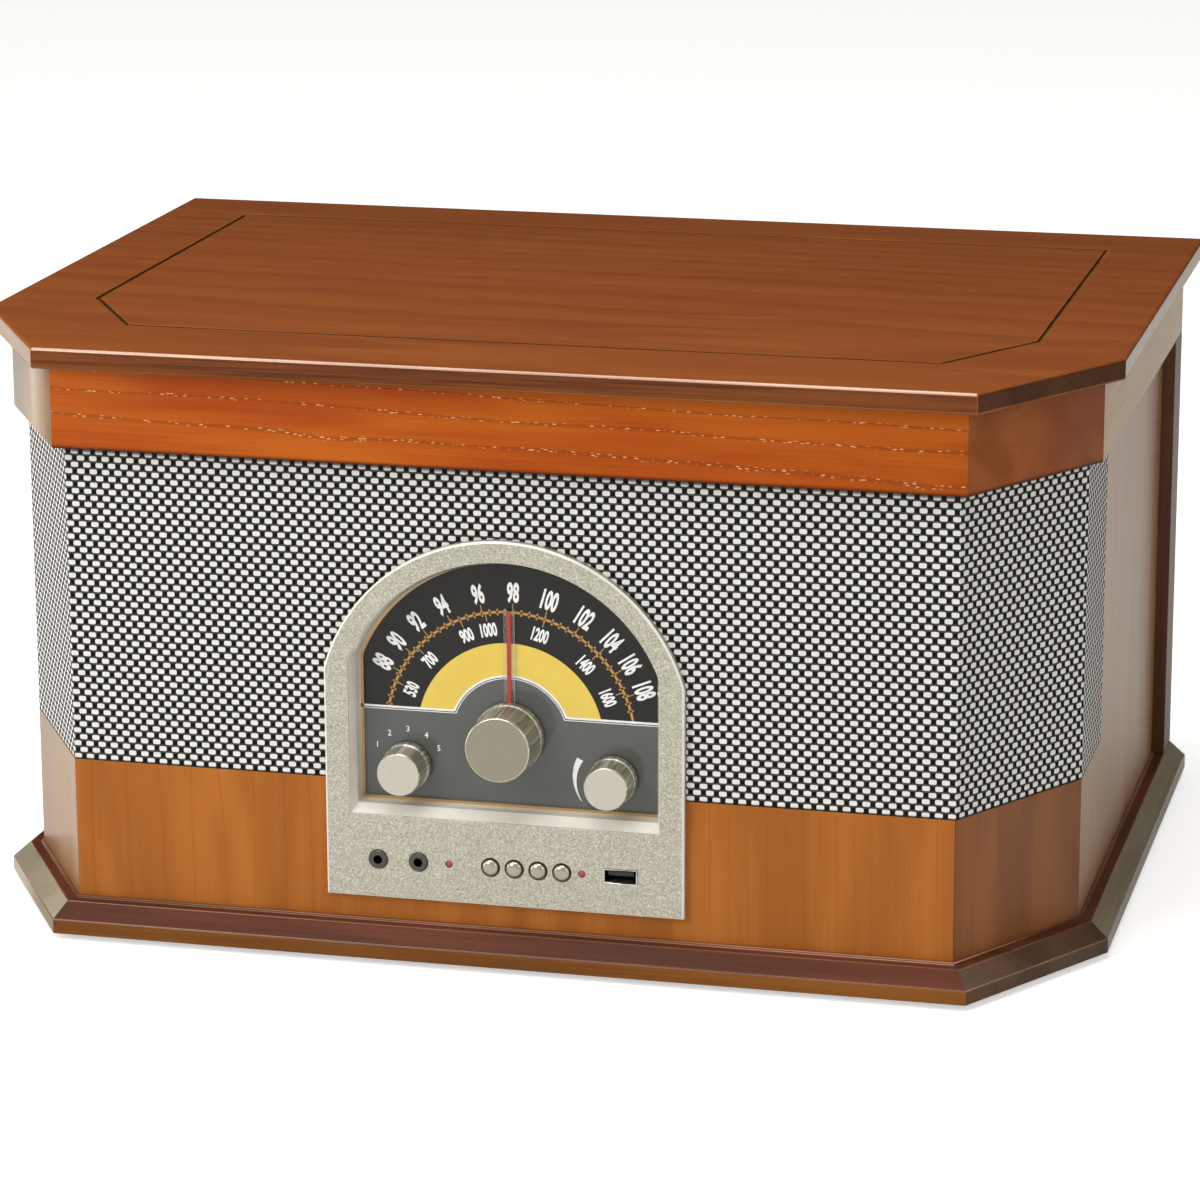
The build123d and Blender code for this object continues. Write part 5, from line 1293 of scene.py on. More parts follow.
@dataclass
class Dial:
    """Printed plate, its numbers and lines, the bright frame round it and the pointer.

    The window reaches `half` to each side, and from `low` to the `crown` of its top, an arc of radius `arc`.
    Rings are given by their radius about the large knob's shaft.
    """

    middle: Pair = SHAFT
    face: float = -145.5
    half: float = 60.5
    low: float = 62.4
    crown: float = 162.4
    arc: float = 65.0
    line_level: float = 99.3
    arch: float = 23.2
    yellow: Pair = (24.5, 37.5)
    scale: float = 50.0
    outer: float = 57.9
    inner: float = 43.2
    layer: float = 0.04
    double_line: tuple[tuple[str, float, float], ...] = (("dial.wide.line", 0.55, 0.85),
                                                         ("dial.thin.line", -0.15, 0.32))
    yellow_gap: float = 1.3
    gold_width: float = 1.1
    scale_half: float = 0.5
    scale_gap: float = 1.4
    mark_shift: float = 1.8
    selector_ring: float = 14.6
    selector_angles: tuple[int, ...] = (-59, -31, 0, 31, 59)
    wedge_ring: float = 16.6
    wedge_width: float = 2.7
    wedge_taper: float = 2.5
    wedge_start: float = -63.0
    wedge_sweep: float = -65.0
    pointer_face: float = -146.81
    pointer_half: float = 0.8
    pointer_ends: Pair = (100.0, 142.2)

    def rim(self, angle: float, inset: float = 0.0) -> Pair:
        """Finds the window's edge in a direction.

        Args:
            angle: Radians clockwise from straight up, about the shaft.
            inset: How far inside the edge.

        Returns:
            The point as x and z.
        """
        radius, half = self.arc - inset, self.half - inset
        centre = self.crown - self.arc - self.middle[1]
        b = centre * math.cos(angle)
        reach = b + math.sqrt(max(0.0, b * b - centre * centre + radius * radius)) if b > 0 else 2 * half
        if abs(reach * math.sin(angle)) > half:
            reach = half / abs(math.sin(angle))
        if reach * math.cos(angle) < self.low + inset - self.middle[1]:
            reach = (self.low + inset - self.middle[1]) / math.cos(angle)
        return (self.middle[0] + reach * math.sin(angle), self.middle[1] + reach * math.cos(angle))

    def line(self, angle: float, rise: float = 0.0) -> Pair:
        """Finds the double line in a direction: level, with an arch over the knob.

        Args:
            angle: Radians clockwise from straight up, about the shaft.
            rise: How far above the line.

        Returns:
            The point as x and z.
        """
        level = self.line_level + rise - self.middle[1]
        reach = max(self.arch + rise, level / max(math.cos(angle), 1e-3))
        return (self.middle[0] + reach * math.sin(angle), self.middle[1] + reach * math.cos(angle))

    def bands(self) -> None:
        """Prints the dark field, the yellow half ring, the lines and the scale."""
        level = self.line_level - self.middle[1]
        turns = spaced(math.atan2(self.half, level), 120)
        turns = sorted(set(turns + [side * math.acos(level / self.arch) for side in (-1, 1)]))
        self.ink("dial.field", [self.line(a) for a in turns], [self.rim(a) for a in turns], 1, DIAL_BLACK)
        steps = spaced(math.acos(level / self.yellow[1]), 90)
        near, far = ([self.above(radius, a) for a in steps] for radius in self.yellow)
        self.ink("dial.yellow", near, far, 2, YELLOW_INK)
        for name, rise, width in self.double_line:
            low = [self.line(a, rise) for a in turns]
            high = [self.line(a, rise + width) for a in turns]
            self.ink(name, low, high, 3, WHITE_INK)
        feet = [math.atan2(self.half - gap, self.low + gap - self.middle[1])
                for gap in (0.0, self.gold_width)]
        whole = sorted(spaced(math.pi, 240)[:-1] + [side * foot for foot in feet for side in (-1, 1)])
        near = [self.rim(a, self.gold_width) for a in whole]
        self.ink("dial.gold.line", near, [self.rim(a) for a in whole], 3, GOLD, loop=True)
        end = math.degrees(math.acos((level + self.scale_gap) / self.scale))
        near, far = (arc_points(self.scale + side * self.scale_half, -end, end, self.middle, 96)
                     for side in (-1, 1))
        self.ink("dial.scale.line", near, far, 2, OCHRE_INK)
        ticks = Spread("dial.ticks", radius=self.scale, count=43, start=-78.4, sweep=156.8,
                       size=(0.7, 0.1, 2.6), middle=(self.middle[0], self.face - 0.03, self.middle[1]))
        settle(ticks.build(OCHRE_INK), "cabinet", "dial")
        marks = []
        for group, side in zip(self.numbers(), (1, -1)):
            for _, angle in group:
                mark = Spread("mark", radius=self.scale + side * self.mark_shift, count=1, start=angle,
                              sweep=0, size=(0.35, 0.1, 3.2),
                              middle=(self.middle[0], self.face - 0.04, self.middle[1]))
                marks.append(mark.build(OCHRE_INK))
        settle(joined("dial.marks", marks), "cabinet", "dial", OCHRE_INK)

    def ink(self, name: str, near: Points, far: Points, layers: int, finish: Finish,
            loop: bool = False) -> None:
        """Prints a band on the plate, as thick as some layers of ink."""
        band = print_band(name, near, far, self.face, layers * self.layer, loop)
        settle(band, "cabinet", "dial", finish)

    def above(self, radius: float, angle: float) -> Pair:
        """Finds a point of a ring, held above the double line.

        Args:
            radius: The ring's radius.
            angle: Radians clockwise from straight up, about the shaft.

        Returns:
            The point as x and z.
        """
        level = self.line_level + self.yellow_gap - self.middle[1]
        reach = max(radius, level / math.cos(angle)) if radius < self.yellow[1] else radius
        return (self.middle[0] + reach * math.sin(angle),
                self.middle[1] + max(level, reach * math.cos(angle)))

    def numbers(self) -> tuple[list[tuple[str, float]], list[tuple[str, float]]]:
        """Gives the outer and inner numbers with their angles.

        Returns:
            Both rows, each number with its angle in degrees clockwise from straight up.
        """
        outer = [("88", -62.3), ("90", -52), ("92", -40.6), ("94", -28), ("96", -12.6), ("98", 1.5),
                 ("100", 16.3), ("102", 31.4), ("104", 45), ("106", 56.5), ("108", 68)]
        inner = [("530", -67.5), ("700", -48.2), ("900", -23.5), ("1000", -11.2), ("1200", 16.5),
                 ("1400", 44.9), ("1600", 65.5)]
        return outer, inner

    def lettering(self) -> None:
        """Prints the scale's numbers and the plain numbers round the selector."""
        made = []
        outer, inner = self.numbers()
        for group, radius, height, width in ((outer, self.outer, 8.4, 0.46), (inner, self.inner, 5.7, 0.5)):
            for text, angle in group:
                made.append(numeral(text, height, width, self.at(self.middle, radius, angle), weight=0.04))
        selector = (-SMALL_KNOB[0], SMALL_KNOB[1])
        for text, angle in zip("12345", self.selector_angles):
            upright = Matrix.Rotation(-math.radians(angle), 4, "Y")
            place = self.at(selector, self.selector_ring, angle) @ upright
            made.append(numeral(text, height=2.4, width=0.95, spot=place, weight=0.015))
        settle(joined("dial.numbers", made), "cabinet", "dial", WHITE_INK)

    def wedge(self) -> None:
        """Prints the volume's wedge, which grows clockwise round the right knob."""
        steps = 24
        far = arc_points(self.wedge_ring, self.wedge_start, self.wedge_start + self.wedge_sweep,
                         SMALL_KNOB, steps)
        near = []
        for i in range(steps + 1):
            radius = self.wedge_ring - self.wedge_width + self.wedge_taper * i / steps
            a = math.radians(self.wedge_start + self.wedge_sweep * i / steps)
            near.append((SMALL_KNOB[0] + radius * math.sin(a), SMALL_KNOB[1] + radius * math.cos(a)))
        self.ink("dial.volume.wedge", near, far, 2, WHITE_INK)

    def at(self, centre: Pair, radius: float, angle: float) -> Matrix:
        """Places a printed number on a circle, its foot towards the centre.

        Args:
            centre: Middle of the circle as x and z.
            radius: Its radius.
            angle: Degrees clockwise from straight up.

        Returns:
            The number's place and turn.
        """
        a = math.radians(angle)
        spot = Vector(((centre[0] + radius * math.sin(a)) * MM, (self.face - 0.1) * MM,
                       (centre[1] + radius * math.cos(a)) * MM))
        return Matrix.Translation(spot) @ Matrix.Rotation(a, 4, "Y")

    def build(self) -> None:
        """Dresses the plate and frame, prints the dial and dresses the pointer."""
        dress(DIAL_GREY, "dial_plate")
        # Metallised plastic under lacquer: its nearly white tone is a painted reflection, with a soft mirror
        # from the lacquer
        frame = Moulded("plated frame with painted reflection", colour="E0DCD2", second="EEEAE0", roughness=0.2, fleck=24,
                        coat=0.8, depth=0.03)
        refined("window_trim", frame, width=0.35)
        self.bands()
        self.lettering()
        self.wedge()
        # A sawn edge scatters the light and looks white
        sawn = Moulded("sawn acrylic edge", colour="F4F2EE", second="FFFFFF", roughness=0.7, texture=0.3,
                       clear=0.35, ior=1.49)
        parted("dial_pointer", (ACRYLIC, sawn), lambda c, n: int(abs(n.x) > 0.9), width=0.0)
        near, far = ([(x, z) for z in self.pointer_ends] for x in (-self.pointer_half, self.pointer_half))
        red = print_band("pointer.line", near, far, self.pointer_face, thickness=0.05)
        settle(red, "tuner", "clear", RED_INK)


@dataclass
class Front:
    """Bezel, knobs and the row of sockets, lamps and buttons."""

    face: float = -157.5
    strip: float = 41.0
    first_button: float = -5.3
    button_step: float = 9.57
    # Inner and outer radius of the dark ring of painted shadow round each button
    ring: Pair = (3.5, 3.9)
    shaft_from: float = -146.5
    usb_from: float = 30.0
    usb_middle: float = 46.9
    tongue_half: float = 5.2
    buttons: tuple[str, ...] = ("button_previous", "button_play", "button_next", "button_record")

    def build(self) -> None:
        """Dresses the bezel and everything that stands in it."""
        parted("bezel", (CHAMPAGNE, RIM_HIGHLIGHT), self.bezel_rule, width=0.45, edge=BRIGHT_RIM, segments=3)
        x, z = SMALL_KNOB
        for node, tone, place in (("tuning_knob", "A09A88", SHAFT), ("selector_knob", "D2CCC0", (-x, z)),
                                  ("volume_knob", "D2CCC0", (x, z))):
            face, side = knob_finishes(node.split("_")[0], tone, *place)
            # The rim is cut bright, so it catches a thin line
            rim = Metal("bright knob rim", colour="DDD8C8", roughness=0.2, depth=0.05)
            parted(node, (face, side, STEEL), self.knob_rule, width=0.2, edge=rim)
        # A dark ring printed round each button is painted shadow in the gap round it
        rings = []
        for n, node in enumerate(self.buttons):
            refined(node, BUTTON_SKIN, width=0.15)
            middle = (self.first_button + n * self.button_step, self.strip)
            near, far = (arc_points(r, -180, 172.5, middle, 47) for r in self.ring)
            rings.append(print_band("ring", near, far, self.face, thickness=0.06, loop=True))
        settle(joined("button.shadow.rings", rings), "cabinet", "champagne", GLOSS_BLACK)
        refined("indicator_lamps", LAMP_LENS, width=0.1)
        parted("front_sockets", (JACK_GREY, CHROME, GLOSS_BLACK, WHITE_INK), self.socket_rule)

    def bezel_rule(self, centre: Vector, normal: Vector) -> int:
        """Tells the slope round the bezel from the rest."""
        return int(-SQUARE < normal.y < -SLANTED and centre.y < self.face + 1.0)

    def knob_rule(self, centre: Vector, normal: Vector) -> int:
        """Tells a knob's face, its side and its shaft apart.

        Args:
            centre: The face's middle, in millimetres.
            normal: Its normal.

        Returns:
            Number of its finish.
        """
        if centre.y > self.shaft_from:
            return 2
        return 0 if normal.y < -0.9 else 1

    def socket_rule(self, centre: Vector, normal: Vector) -> int:
        """Tells the collars, the bright shell, the dark insides and the pale tongue apart.

        Args:
            centre: The face's middle, in millimetres.
            normal: Its normal.

        Returns:
            Number of its finish.
        """
        if centre.x > self.usb_from:
            if normal.z > 0.5 and centre.z < self.strip - 1.2 and centre.y > self.face:
                return 0
            tongue = abs(centre.x - self.usb_middle) < self.tongue_half and centre.y > self.face
            if tongue and self.strip < centre.z < self.strip + 2:
                return 3 if normal.z < -0.5 else 2
            return 1 if centre.y < self.face + 0.6 else 2
        return 0 if centre.y < self.face + 0.2 and normal.y < -0.2 else 2


# The deck is moulded with a coarse leather-like texture.
DECK_PAINT = Moulded("textured deck moulding", colour="17171A", second="1D1D21", roughness=0.55,
                     texture=0.6, depth=0.5, fleck=3.0)
# Bead-blasted aluminium is pale, with a wide soft shine.
SATIN_ALLOY = Metal("satin aluminium", colour="C9CBCD", roughness=0.28, depth=0.2)
# The anodised tube is drawn, so its fine lines run along it.
ARM_ALLOY = Metal("anodised arm tube", colour="CDD0D3", roughness=0.22, brushed=Axis.Y, lines=0.4)
# Polished steel mirrors its surroundings.
POLISHED = Metal("polished steel", colour="D2D4D6", roughness=0.1, depth=0.05)
# Pad-printed white on the deck is slightly rough.
WHITE_MARK = Moulded("white deck marking", colour="DEDEDA", second="E8E8E4", roughness=0.5)
# The belt's rubber is ground flat and looks dusty black.
BELT_RUBBER = Moulded("ground belt rubber", colour="121213", second="1C1C1E", roughness=0.7, texture=0.2,
                      depth=0.3)
# The stylus holder is bright red, so that it can be found.
SIGNAL_RED = Moulded("red stylus holder", colour="B41C14", second="C4281E", roughness=0.3, coat=0.3)


@dataclass
class Deck:
    """Deck plate, platter with its mat and marks, spindle, drive, switches and the adapter."""

    top: float = 179.8
    spindle: Pair = (-38.0, 1.6)
    platter_levels: Pair = (181.3, 189.3)
    platter_radius: float = 100.0
    mat_levels: Pair = (189.3, 191.3)
    mat_radius: float = 97.0
    mat_hole: float = 4.3
    label_radius: float = 52.0
    label_depth: float = 0.6
    rib_step: float = 2.2
    groove_depth: float = 0.45
    switches_x: float = 172.0
    lever_y: float = -62.0
    stop_y: float = -104.0
    adapter_y: float = 18.0
    motor_rubber: float = 174.95
    speeds: tuple[tuple[str, float, float], ...] = (("33", 13.5, 9.5), ("45", 16.5, 0.0), ("78", 13.5, -9.5))
    screw_size: Pair = (2.6, 0.9)
    cross_size: Pair = (1.5, 0.26)
    cross_turn: float = 15.0
    cross_floor: float = 0.45

    def build(self) -> None:
        """Dresses the deck and makes what repeats on it."""
        refined("deck_plate", DECK_PAINT, width=0.25)
        refined("spindle", POLISHED, width=0.0)
        # Turned aluminium: its rings draw two bright fans of light
        centre = (self.spindle[0] * MM, self.spindle[1] * MM, 0.0)
        turned = Metal("turned platter", colour="C6C8CA", roughness=0.26, turned_at=centre,
                       turned_about=Axis.Z, lines=0.4, depth=0.4)
        refined("platter", turned, width=0.2)
        self.strobe()
        self.mat()
        refined("drive_belt", BELT_RUBBER, width=0.15)
        refined("motor_pulley", BRASS, width=0.1)
        parted("turntable_motor", (STEEL, RUBBER), lambda c, n: int(c.z > self.motor_rubber), width=0.3)
        for node in ("speed_lever", "stop_switch", "deck_switches"):
            refined(node, BLACK_PLASTIC, width=0.3)
        centre = (self.switches_x * MM, self.adapter_y * MM, 0.0)
        adapter = Metal("turned adapter", colour="C2C5C8", roughness=0.22, turned_at=centre,
                        turned_about=Axis.Z, lines=0.4, depth=0.4)
        refined("record_adapter", adapter, width=0.3)
        self.marks()
        self.screws()

    def strobe(self) -> None:
        """Rings the platter's edge with two rows of dots for checking its speed."""
        rows = []
        low, high = self.platter_levels
        for share, count in ((0.32, 90), (0.68, 108)):
            row = Spread("dots", radius=self.platter_radius, count=count, start=0, sweep=360,
                         size=(2.2, 0.12, 1.1), middle=(*self.spindle, low + share * (high - low)),
                         tilt=(-90, 0, 0), lean=90, round_ends=True)
            rows.append(row.build(GLOSS_BLACK))
        dots = joined("platter.dots", rows)
        settle(dots, body_of("platter"), "platter_metal", GLOSS_BLACK)

    def mat(self) -> None:
        """Makes the mat with raised rings and a sunk middle for the label."""
        low, high = self.mat_levels
        outline = [(self.mat_hole, low), (self.mat_radius, low), (self.mat_radius, high - 0.5),
                   (self.mat_radius - 0.5, high)]
        r = self.mat_radius - 3.0
        while r > self.label_radius + 3:
            foot = high - self.groove_depth
            outline += [(r, high), (r - 0.35, foot), (r - 0.95, foot), (r - 1.3, high)]
            r -= self.rib_step
        foot = high - self.label_depth
        outline += [(self.label_radius, high), (self.label_radius - self.label_depth, foot),
                    (self.mat_hole, foot)]
        mat = lathe("platter.mat", outline, (self.spindle[0], self.spindle[1], 0.0), steps=160)
        settle(soften(mat, 0.0, angle=25), body_of("platter_mat"), "rubber", RUBBER, ("platter_mat",))

    def marks(self) -> None:
        """Prints plain numbers and lines by the speed lever and the stop."""
        made = []
        for text, dx, dy in self.speeds:
            spot = Matrix.Translation(((self.switches_x + dx) * MM, (self.lever_y + dy) * MM,
                                       (self.top + 0.03) * MM))
            flat = Matrix.Rotation(math.radians(-90), 4, "X")
            made.append(numeral(text, height=3.4, width=0.9, spot=spot @ flat))
        for n in range(5):
            bar = Spread("bar", radius=0.0, count=1, start=0, sweep=0, size=(0.5, 2.4 + 0.9 * (n == 2), 0.06),
                         middle=(self.switches_x + 7.5, self.stop_y - 4 + 2 * n, self.top + 0.03),
                         tilt=(0, 0, 90))
            made.append(bar.build(WHITE_MARK))
        settle(joined("deck.marks", made), "cabinet", "deck", WHITE_MARK)

    def screws(self) -> None:
        """Sets cross-headed screws where the plain heads are."""
        heads = copied("cabinet_screws")
        islands = solids_of(heads.data)
        bpy.data.objects.remove(heads)
        radius, rise = self.screw_size
        made = []
        for low, high in islands:
            upright = high.z - low.z < high.y - low.y
            head = lathe("head", [(0, 0), (radius, 0), (radius, 0.25), (radius * 0.8, rise), (0, rise)],
                         (0, 0, 0), steps=32)
            for n in range(2):
                # A square turned in four steps, set straight and drawn out to one bar of the cross
                cross = lathe("cross", [(0, 0), (1, 0), (1, 1), (0, 1)], (0, 0, 0), steps=4)
                square = Matrix.Rotation(math.radians(45), 4, "Z") @ Matrix.Diagonal((1.414, 1.414, 1.0, 1.0))
                drawn = Matrix.Diagonal((*self.cross_size, 1.0, 1.0)) @ square
                cross.data.transform(Matrix.Rotation(math.radians(90 * n + self.cross_turn), 4, "Z") @ drawn)
                cross.data.transform(Matrix.Translation((0, 0, self.cross_floor * MM)))
                cut = head.modifiers.new("cross", "BOOLEAN")
                cut.object = cross
                cut.solver = "EXACT"
                head = plain(head)
                bpy.data.objects.remove(cross)
            middle = (low + high) / 2
            if upright:
                place = Matrix.Translation((middle.x, middle.y, low.z))
            else:
                lying = Matrix.Rotation(math.radians(-90), 4, "X")
                place = Matrix.Translation((middle.x, low.y, middle.z)) @ lying
            head.data.transform(place)
            made.append(head)
        settle(joined("cabinet.screw.heads", made), body_of("cabinet_screws"), "steel", BLACK_HEAD,
               ("cabinet_screws",))


def solids_of(mesh: bpy.types.Mesh) -> list[tuple[Vector, Vector]]:
    """Finds the box of each separate solid in a joined mesh.

    Args:
        mesh: Mesh whose loose triangles have been joined.

    Returns:
        Lowest and highest corner of each, in metres.
    """
    body = bmesh.new()
    body.from_mesh(mesh)
    # A dict keeps the mesh's order, which a set doesn't, so the boxes come in the same order each run
    left = dict.fromkeys(body.verts)
    boxes = []
    while left:
        front = [left.popitem()[0]]
        group = list(front)
        while front:
            for edge in front.pop().link_edges:
                for vert in edge.verts:
                    if vert in left:
                        del left[vert]
                        front.append(vert)
                        group.append(vert)
        boxes.append(tuple(Vector([pick(v.co[i] for v in group) for i in range(3)]) for pick in (min, max)))
    body.free()
    return boxes


@dataclass
class Tonearm:
    """Pedestal, yoke, tube, weight, head and cueing gear."""

    pivot: Pair = (122.215, 94.1)
    tube_level: float = 207.1
    weight_radius: float = 11.0
    weight_start: float = 125.6
    pillar_from: float = 194.5
    pillar_radius: float = 12.0
    grip_middle: float = 11.6
    ring_middle: float = 2.6

    def build(self) -> None:
        """Dresses the arm and knurls its weight."""
        parted("tonearm_base", (BLACK_PLASTIC, SATIN_ALLOY), self.base_rule, width=0.25)
        dressed = {"tonearm_yoke": SATIN_ALLOY, "tonearm_gimbal": SATIN_ALLOY, "tonearm_tube": ARM_ALLOY,
                   "cue_lever": SATIN_ALLOY, "cue_bar": RUBBER, "headshell": BLACK_PLASTIC,
                   "cartridge": GLOSS_BLACK, "arm_rest": BLACK_PLASTIC}
        for node, finish in dressed.items():
            refined(node, finish, width=0.25)
        refined("stylus", SIGNAL_RED, width=0.0)
        self.weight()

    def base_rule(self, centre: Vector, normal: Vector) -> int:
        """Tells the bright pillar from the black pedestal."""
        return int(centre.z > self.pillar_from and math.dist(centre.xy, self.pivot) < self.pillar_radius)

    def weight(self) -> None:
        """Makes the counterweight's ridged grip and the lines of its ring."""
        refined("counterweight", POLISHED, width=0.2)
        ridges = Spread("weight.ridges", radius=self.weight_radius - 0.25, count=72, start=0, sweep=360,
                        size=(0.5, 9.0, 0.5),
                        middle=(self.pivot[0], self.weight_start + self.grip_middle, self.tube_level))
        settle(ridges.build(POLISHED), body_of("counterweight"), "plated")
        lines = Spread("weight.lines", radius=self.weight_radius - 1.5, count=30, start=0, sweep=360,
                       size=(0.25, 1.6, 0.08),
                       middle=(self.pivot[0], self.weight_start + self.ring_middle, self.tube_level))
        settle(lines.build(BLACK_PLASTIC), body_of("counterweight"), "plated")


@dataclass
class Works:
    """What is inside and behind: boards, transformer, antenna, controls and sockets."""

    board_top: float = 22.1
    sink_back: float = 30.0
    strip_face: float = -145.05
    core_middle: float = 60.0
    core_half: float = 17.2
    rod: Pair = (128.0, 30.5)
    rod_radius: float = 5.3
    coil_radius: float = 6.8
    coil_ends: Pair = (-39.0, -5.0)
    cradle_top: float = 24.0
    panel_face: float = 160.3
    sleeve_from: float = 162.0
    ring_face: float = 165.5
    between_sockets: float = -150.0

    def build(self) -> None:
        """Dresses each component by what it is made of."""
        # What tells the parts apart: glossy board, bright sleeves, ribbed copper, dull ferrite, layered core
        green = Moulded("green circuit board", colour="15522E", second="1E6438", roughness=0.35, fleck=1.6,
                        coat=0.3, texture=0.8)
        sleeve = Moulded("capacitor sleeve", colour="1B2A55", second="22336A", roughness=0.3, coat=0.2)
        winding = Metal("enamelled copper winding", colour="B0582A", roughness=0.3, brushed=Axis.X,
                        lines=0.6, depth=0.9)
        ferrite = Moulded("grey ferrite", colour="26262A", second="303036", roughness=0.6)
        sheet = Metal("stacked core sheets", colour="6A6C70", roughness=0.4, brushed=Axis.X, lines=0.5,
                      depth=0.9)
        white_jack = Moulded("white socket ring", colour="D8D8D4", roughness=0.4)
        red_jack = Moulded("red socket ring", colour="B02A22", roughness=0.4)
        refined("control_plate", STEEL, width=0.15)
        parted("strip_board", (green, GLOSS_BLACK), lambda c, n: int(c.y < self.strip_face), width=0.0)
        parted("amplifier_board", (green, SATIN_ALLOY, sleeve), self.board_rule)
        parted("mains_transformer", (sheet, winding), self.coil_rule, width=0.2)
        parted("ferrite_antenna", (ferrite, winding, BLACK_PLASTIC), self.antenna_rule)
        parted("rear_sockets", (BLACK_PLASTIC, red_jack, white_jack, POLISHED), self.rear_rule, width=0.1)

    def board_rule(self, centre: Vector, normal: Vector) -> int:
        """Tells the board, the heat sink and the capacitors apart.

        Args:
            centre: The face's middle, in millimetres.
            normal: Its normal; not used.

        Returns:
            Number of its finish.
        """
        if centre.z <= self.board_top + 0.05:
            return 0
        return 1 if centre.y < self.sink_back else 2

    def coil_rule(self, centre: Vector, normal: Vector) -> int:
        """Tells the winding, which bulges out in front and behind, from the core."""
        return int(abs(centre.y - self.core_middle) > self.core_half)

    def antenna_rule(self, centre: Vector, normal: Vector) -> int:
        """Tells the rod, its coil and the two cradles apart.

        Args:
            centre: The face's middle, in millimetres.
            normal: Its normal; not used.

        Returns:
            Number of its finish.
        """
        reach = math.hypot(centre.y - self.rod[0], centre.z - self.rod[1])
        if reach < self.rod_radius:
            return 0
        left, right = self.coil_ends
        return 1 if reach < self.coil_radius and left < centre.x < right and centre.z > self.cradle_top else 2

    def rear_rule(self, centre: Vector, normal: Vector) -> int:
        """Tells the red and the white socket from the black plate and inlet.

        Args:
            centre: The face's middle, in millimetres.
            normal: Its normal.

        Returns:
            Number of its finish.
        """
        if centre.y < self.panel_face or centre.x > 0:
            return 0
        if normal.y > 0.5 and centre.y > self.ring_face:
            return 1 if centre.x < self.between_sockets else 2
        return 3 if centre.y > self.sleeve_from else 0


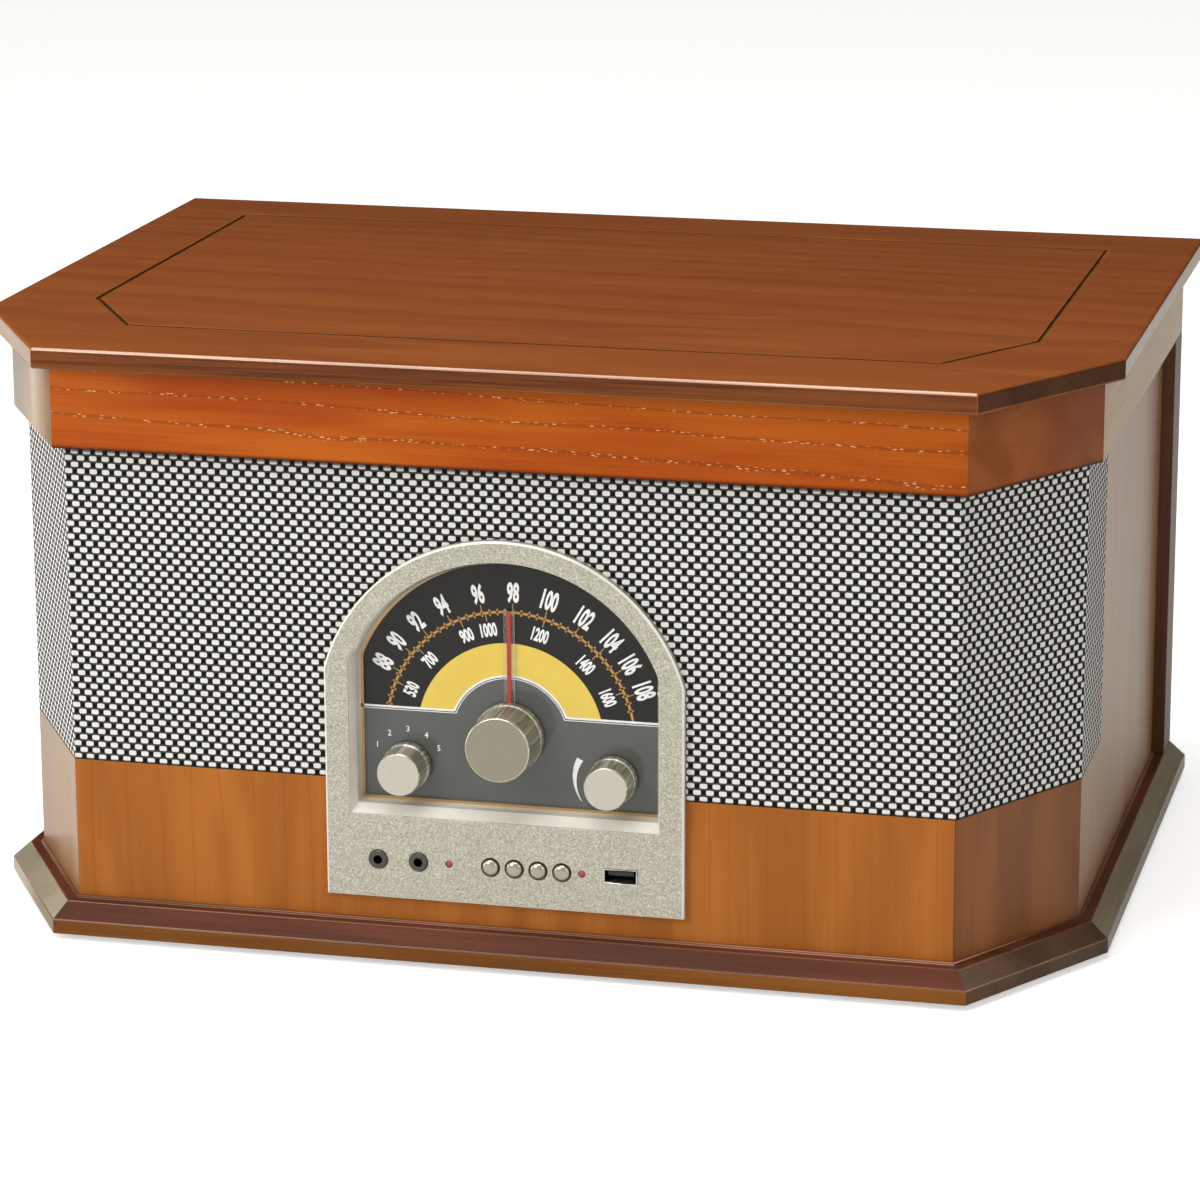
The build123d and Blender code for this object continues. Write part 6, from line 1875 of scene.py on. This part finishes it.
@dataclass
class Studio:
    """Pale floor, soft light and the camera at the photograph's angle.

    The camera's spot is in millimetres; what the lamps aim at is in metres.
    """

    lens: float = 137.7
    spot: Triple = (444.50, -1803.29, 607.19)
    turn: float = -0.24151
    dip: float = 0.26241
    roll: float = -0.003395
    soft: float = 0.36
    glow: float = 0.54
    mirror_front: float = 0.75
    mirror_back: float = 0.08
    middle: Triple = (0.0, -0.05, 0.12)

    def camera(self) -> None:
        """Sets up the camera."""
        data = bpy.data.cameras.new("camera")
        data.lens = self.lens
        data.sensor_width = 36.0
        forward = Vector((math.sin(self.turn) * math.cos(self.dip),
                          math.cos(self.turn) * math.cos(self.dip), -math.sin(self.dip)))
        right = Vector((math.cos(self.turn), -math.sin(self.turn), 0.0))
        up = right.cross(forward)
        c, s = math.cos(self.roll), math.sin(self.roll)
        across, above = c * right + s * up, c * up - s * right
        frame = Matrix((across, above, -forward)).transposed().to_4x4()
        frame.translation = Vector(self.spot) * MM
        camera = link("camera", data)
        camera.matrix_world = frame
        bpy.context.scene.camera = camera

    def lamp(self, name: str, spot: Triple, aim: Triple, size: Pair, power: float) -> None:
        """Hangs a soft box.

        Args:
            name: Name of the lamp.
            spot: Where it hangs, in metres.
            aim: What it points at, in metres.
            size: Width and height in metres.
            power: Watts.
        """
        data = bpy.data.lights.new(name, "AREA")
        data.shape = "RECTANGLE"
        data.size, data.size_y = size
        data.energy = power
        lamp = link(name, data)
        lamp.visible_camera = False
        turn = (Vector(aim) - Vector(spot)).to_track_quat("-Z", "Y")
        lamp.matrix_world = Matrix.Translation(spot) @ turn.to_matrix().to_4x4()

    def world(self) -> None:
        """Lights everything softly: camera and clear parts see white, mirrors a darker sky at the back."""
        world = bpy.data.worlds.new("studio")
        bpy.context.scene.world = world
        tree = blank_tree(world)
        way = add(tree, "ShaderNodeSeparateXYZ", {"Vector": add(tree, "ShaderNodeTexCoord")}).node
        back = add(tree, "ShaderNodeMapRange", {"Value": way.outputs[1], "From Min": 0.0, "From Max": 0.6},
                   **EASED)
        dark = add(tree, "ShaderNodeMapRange",
                   {"Value": back, "To Min": self.mirror_front, "To Max": self.mirror_back})
        soft = add(tree, "ShaderNodeBackground", {"Color": linear("FFFDF8"), "Strength": self.soft})
        mirror = add(tree, "ShaderNodeBackground", {"Color": linear("FFFBF2"), "Strength": dark})
        seen = add(tree, "ShaderNodeBackground", {"Color": linear("FFFFFF"), "Strength": 1.0})
        light = add(tree, "ShaderNodeMixShader",
                    {0: add(tree, "ShaderNodeLightPath", out=3), 1: soft, 2: mirror})
        light = add(tree, "ShaderNodeMixShader", {0: self.seen_directly(tree), 1: light, 2: seen})
        add(tree, "ShaderNodeOutputWorld", {"Surface": light})

    def seen_directly(self, tree: Tree) -> Socket:
        """Gives one for what the camera sees, through clear parts too."""
        clear = add(tree, "ShaderNodeLightPath", out=6)
        return add(tree, "ShaderNodeMath", {0: add(tree, "ShaderNodeLightPath"), 1: clear},
                   operation="MAXIMUM")

    def floor(self) -> None:
        """Lays the floor: it looks white and keeps the shadow."""
        body = bmesh.new()
        bmesh.ops.create_grid(body, x_segments=1, y_segments=1, size=6.0)
        floor = meshed("floor", body)
        made = bpy.data.materials.new("pale studio floor")
        tree = blank_tree(made)
        shader = add(tree, "ShaderNodeBsdfPrincipled",
                     {"Base Color": linear("F4F4F3"), "Roughness": 0.9, "Specular IOR Level": 0.1})
        glow = add(tree, "ShaderNodeEmission", {"Color": linear("FFFFFF"), "Strength": self.glow})
        shown = self.seen_directly(tree)
        none = add(tree, "ShaderNodeEmission", {"Strength": 0.0})
        extra = add(tree, "ShaderNodeMixShader", {0: shown, 1: none, 2: glow})
        add(tree, "ShaderNodeOutputMaterial",
            {"Surface": add(tree, "ShaderNodeAddShader", {0: shader, 1: extra})})
        floor.data.materials.append(made)

    def build(self) -> None:
        """Sets up light, floor, world and camera."""
        bpy.context.scene.view_settings.view_transform = "Standard"
        self.lamp("key", (-1.3, -1.9, 1.5), self.middle, size=(1.3, 1.3), power=24)
        self.lamp("top", (-0.2, -0.5, 2.1), self.middle, size=(1.6, 1.2), power=24)
        self.lamp("right", (1.7, -1.7, 1.0), self.middle, size=(1.1, 1.1), power=6)
        self.lamp("left", (-0.95, -0.2, 0.2), (-0.2, -0.13, 0.16), size=(0.9, 0.36), power=2.5)
        self.world()
        self.floor()
        self.camera()


def main() -> None:
    """Builds every part of the turntable in order, then the studio."""
    logging.basicConfig(level=logging.INFO, format="%(message)s")
    for part in (Cabinet(), Grille(), Lid(), Dial(), Front(), Deck(), Tonearm(), Works(), Studio()):
        LOG.info("Building the %s", type(part).__name__.lower())
        part.build()


if __name__ == "__main__":
    main()
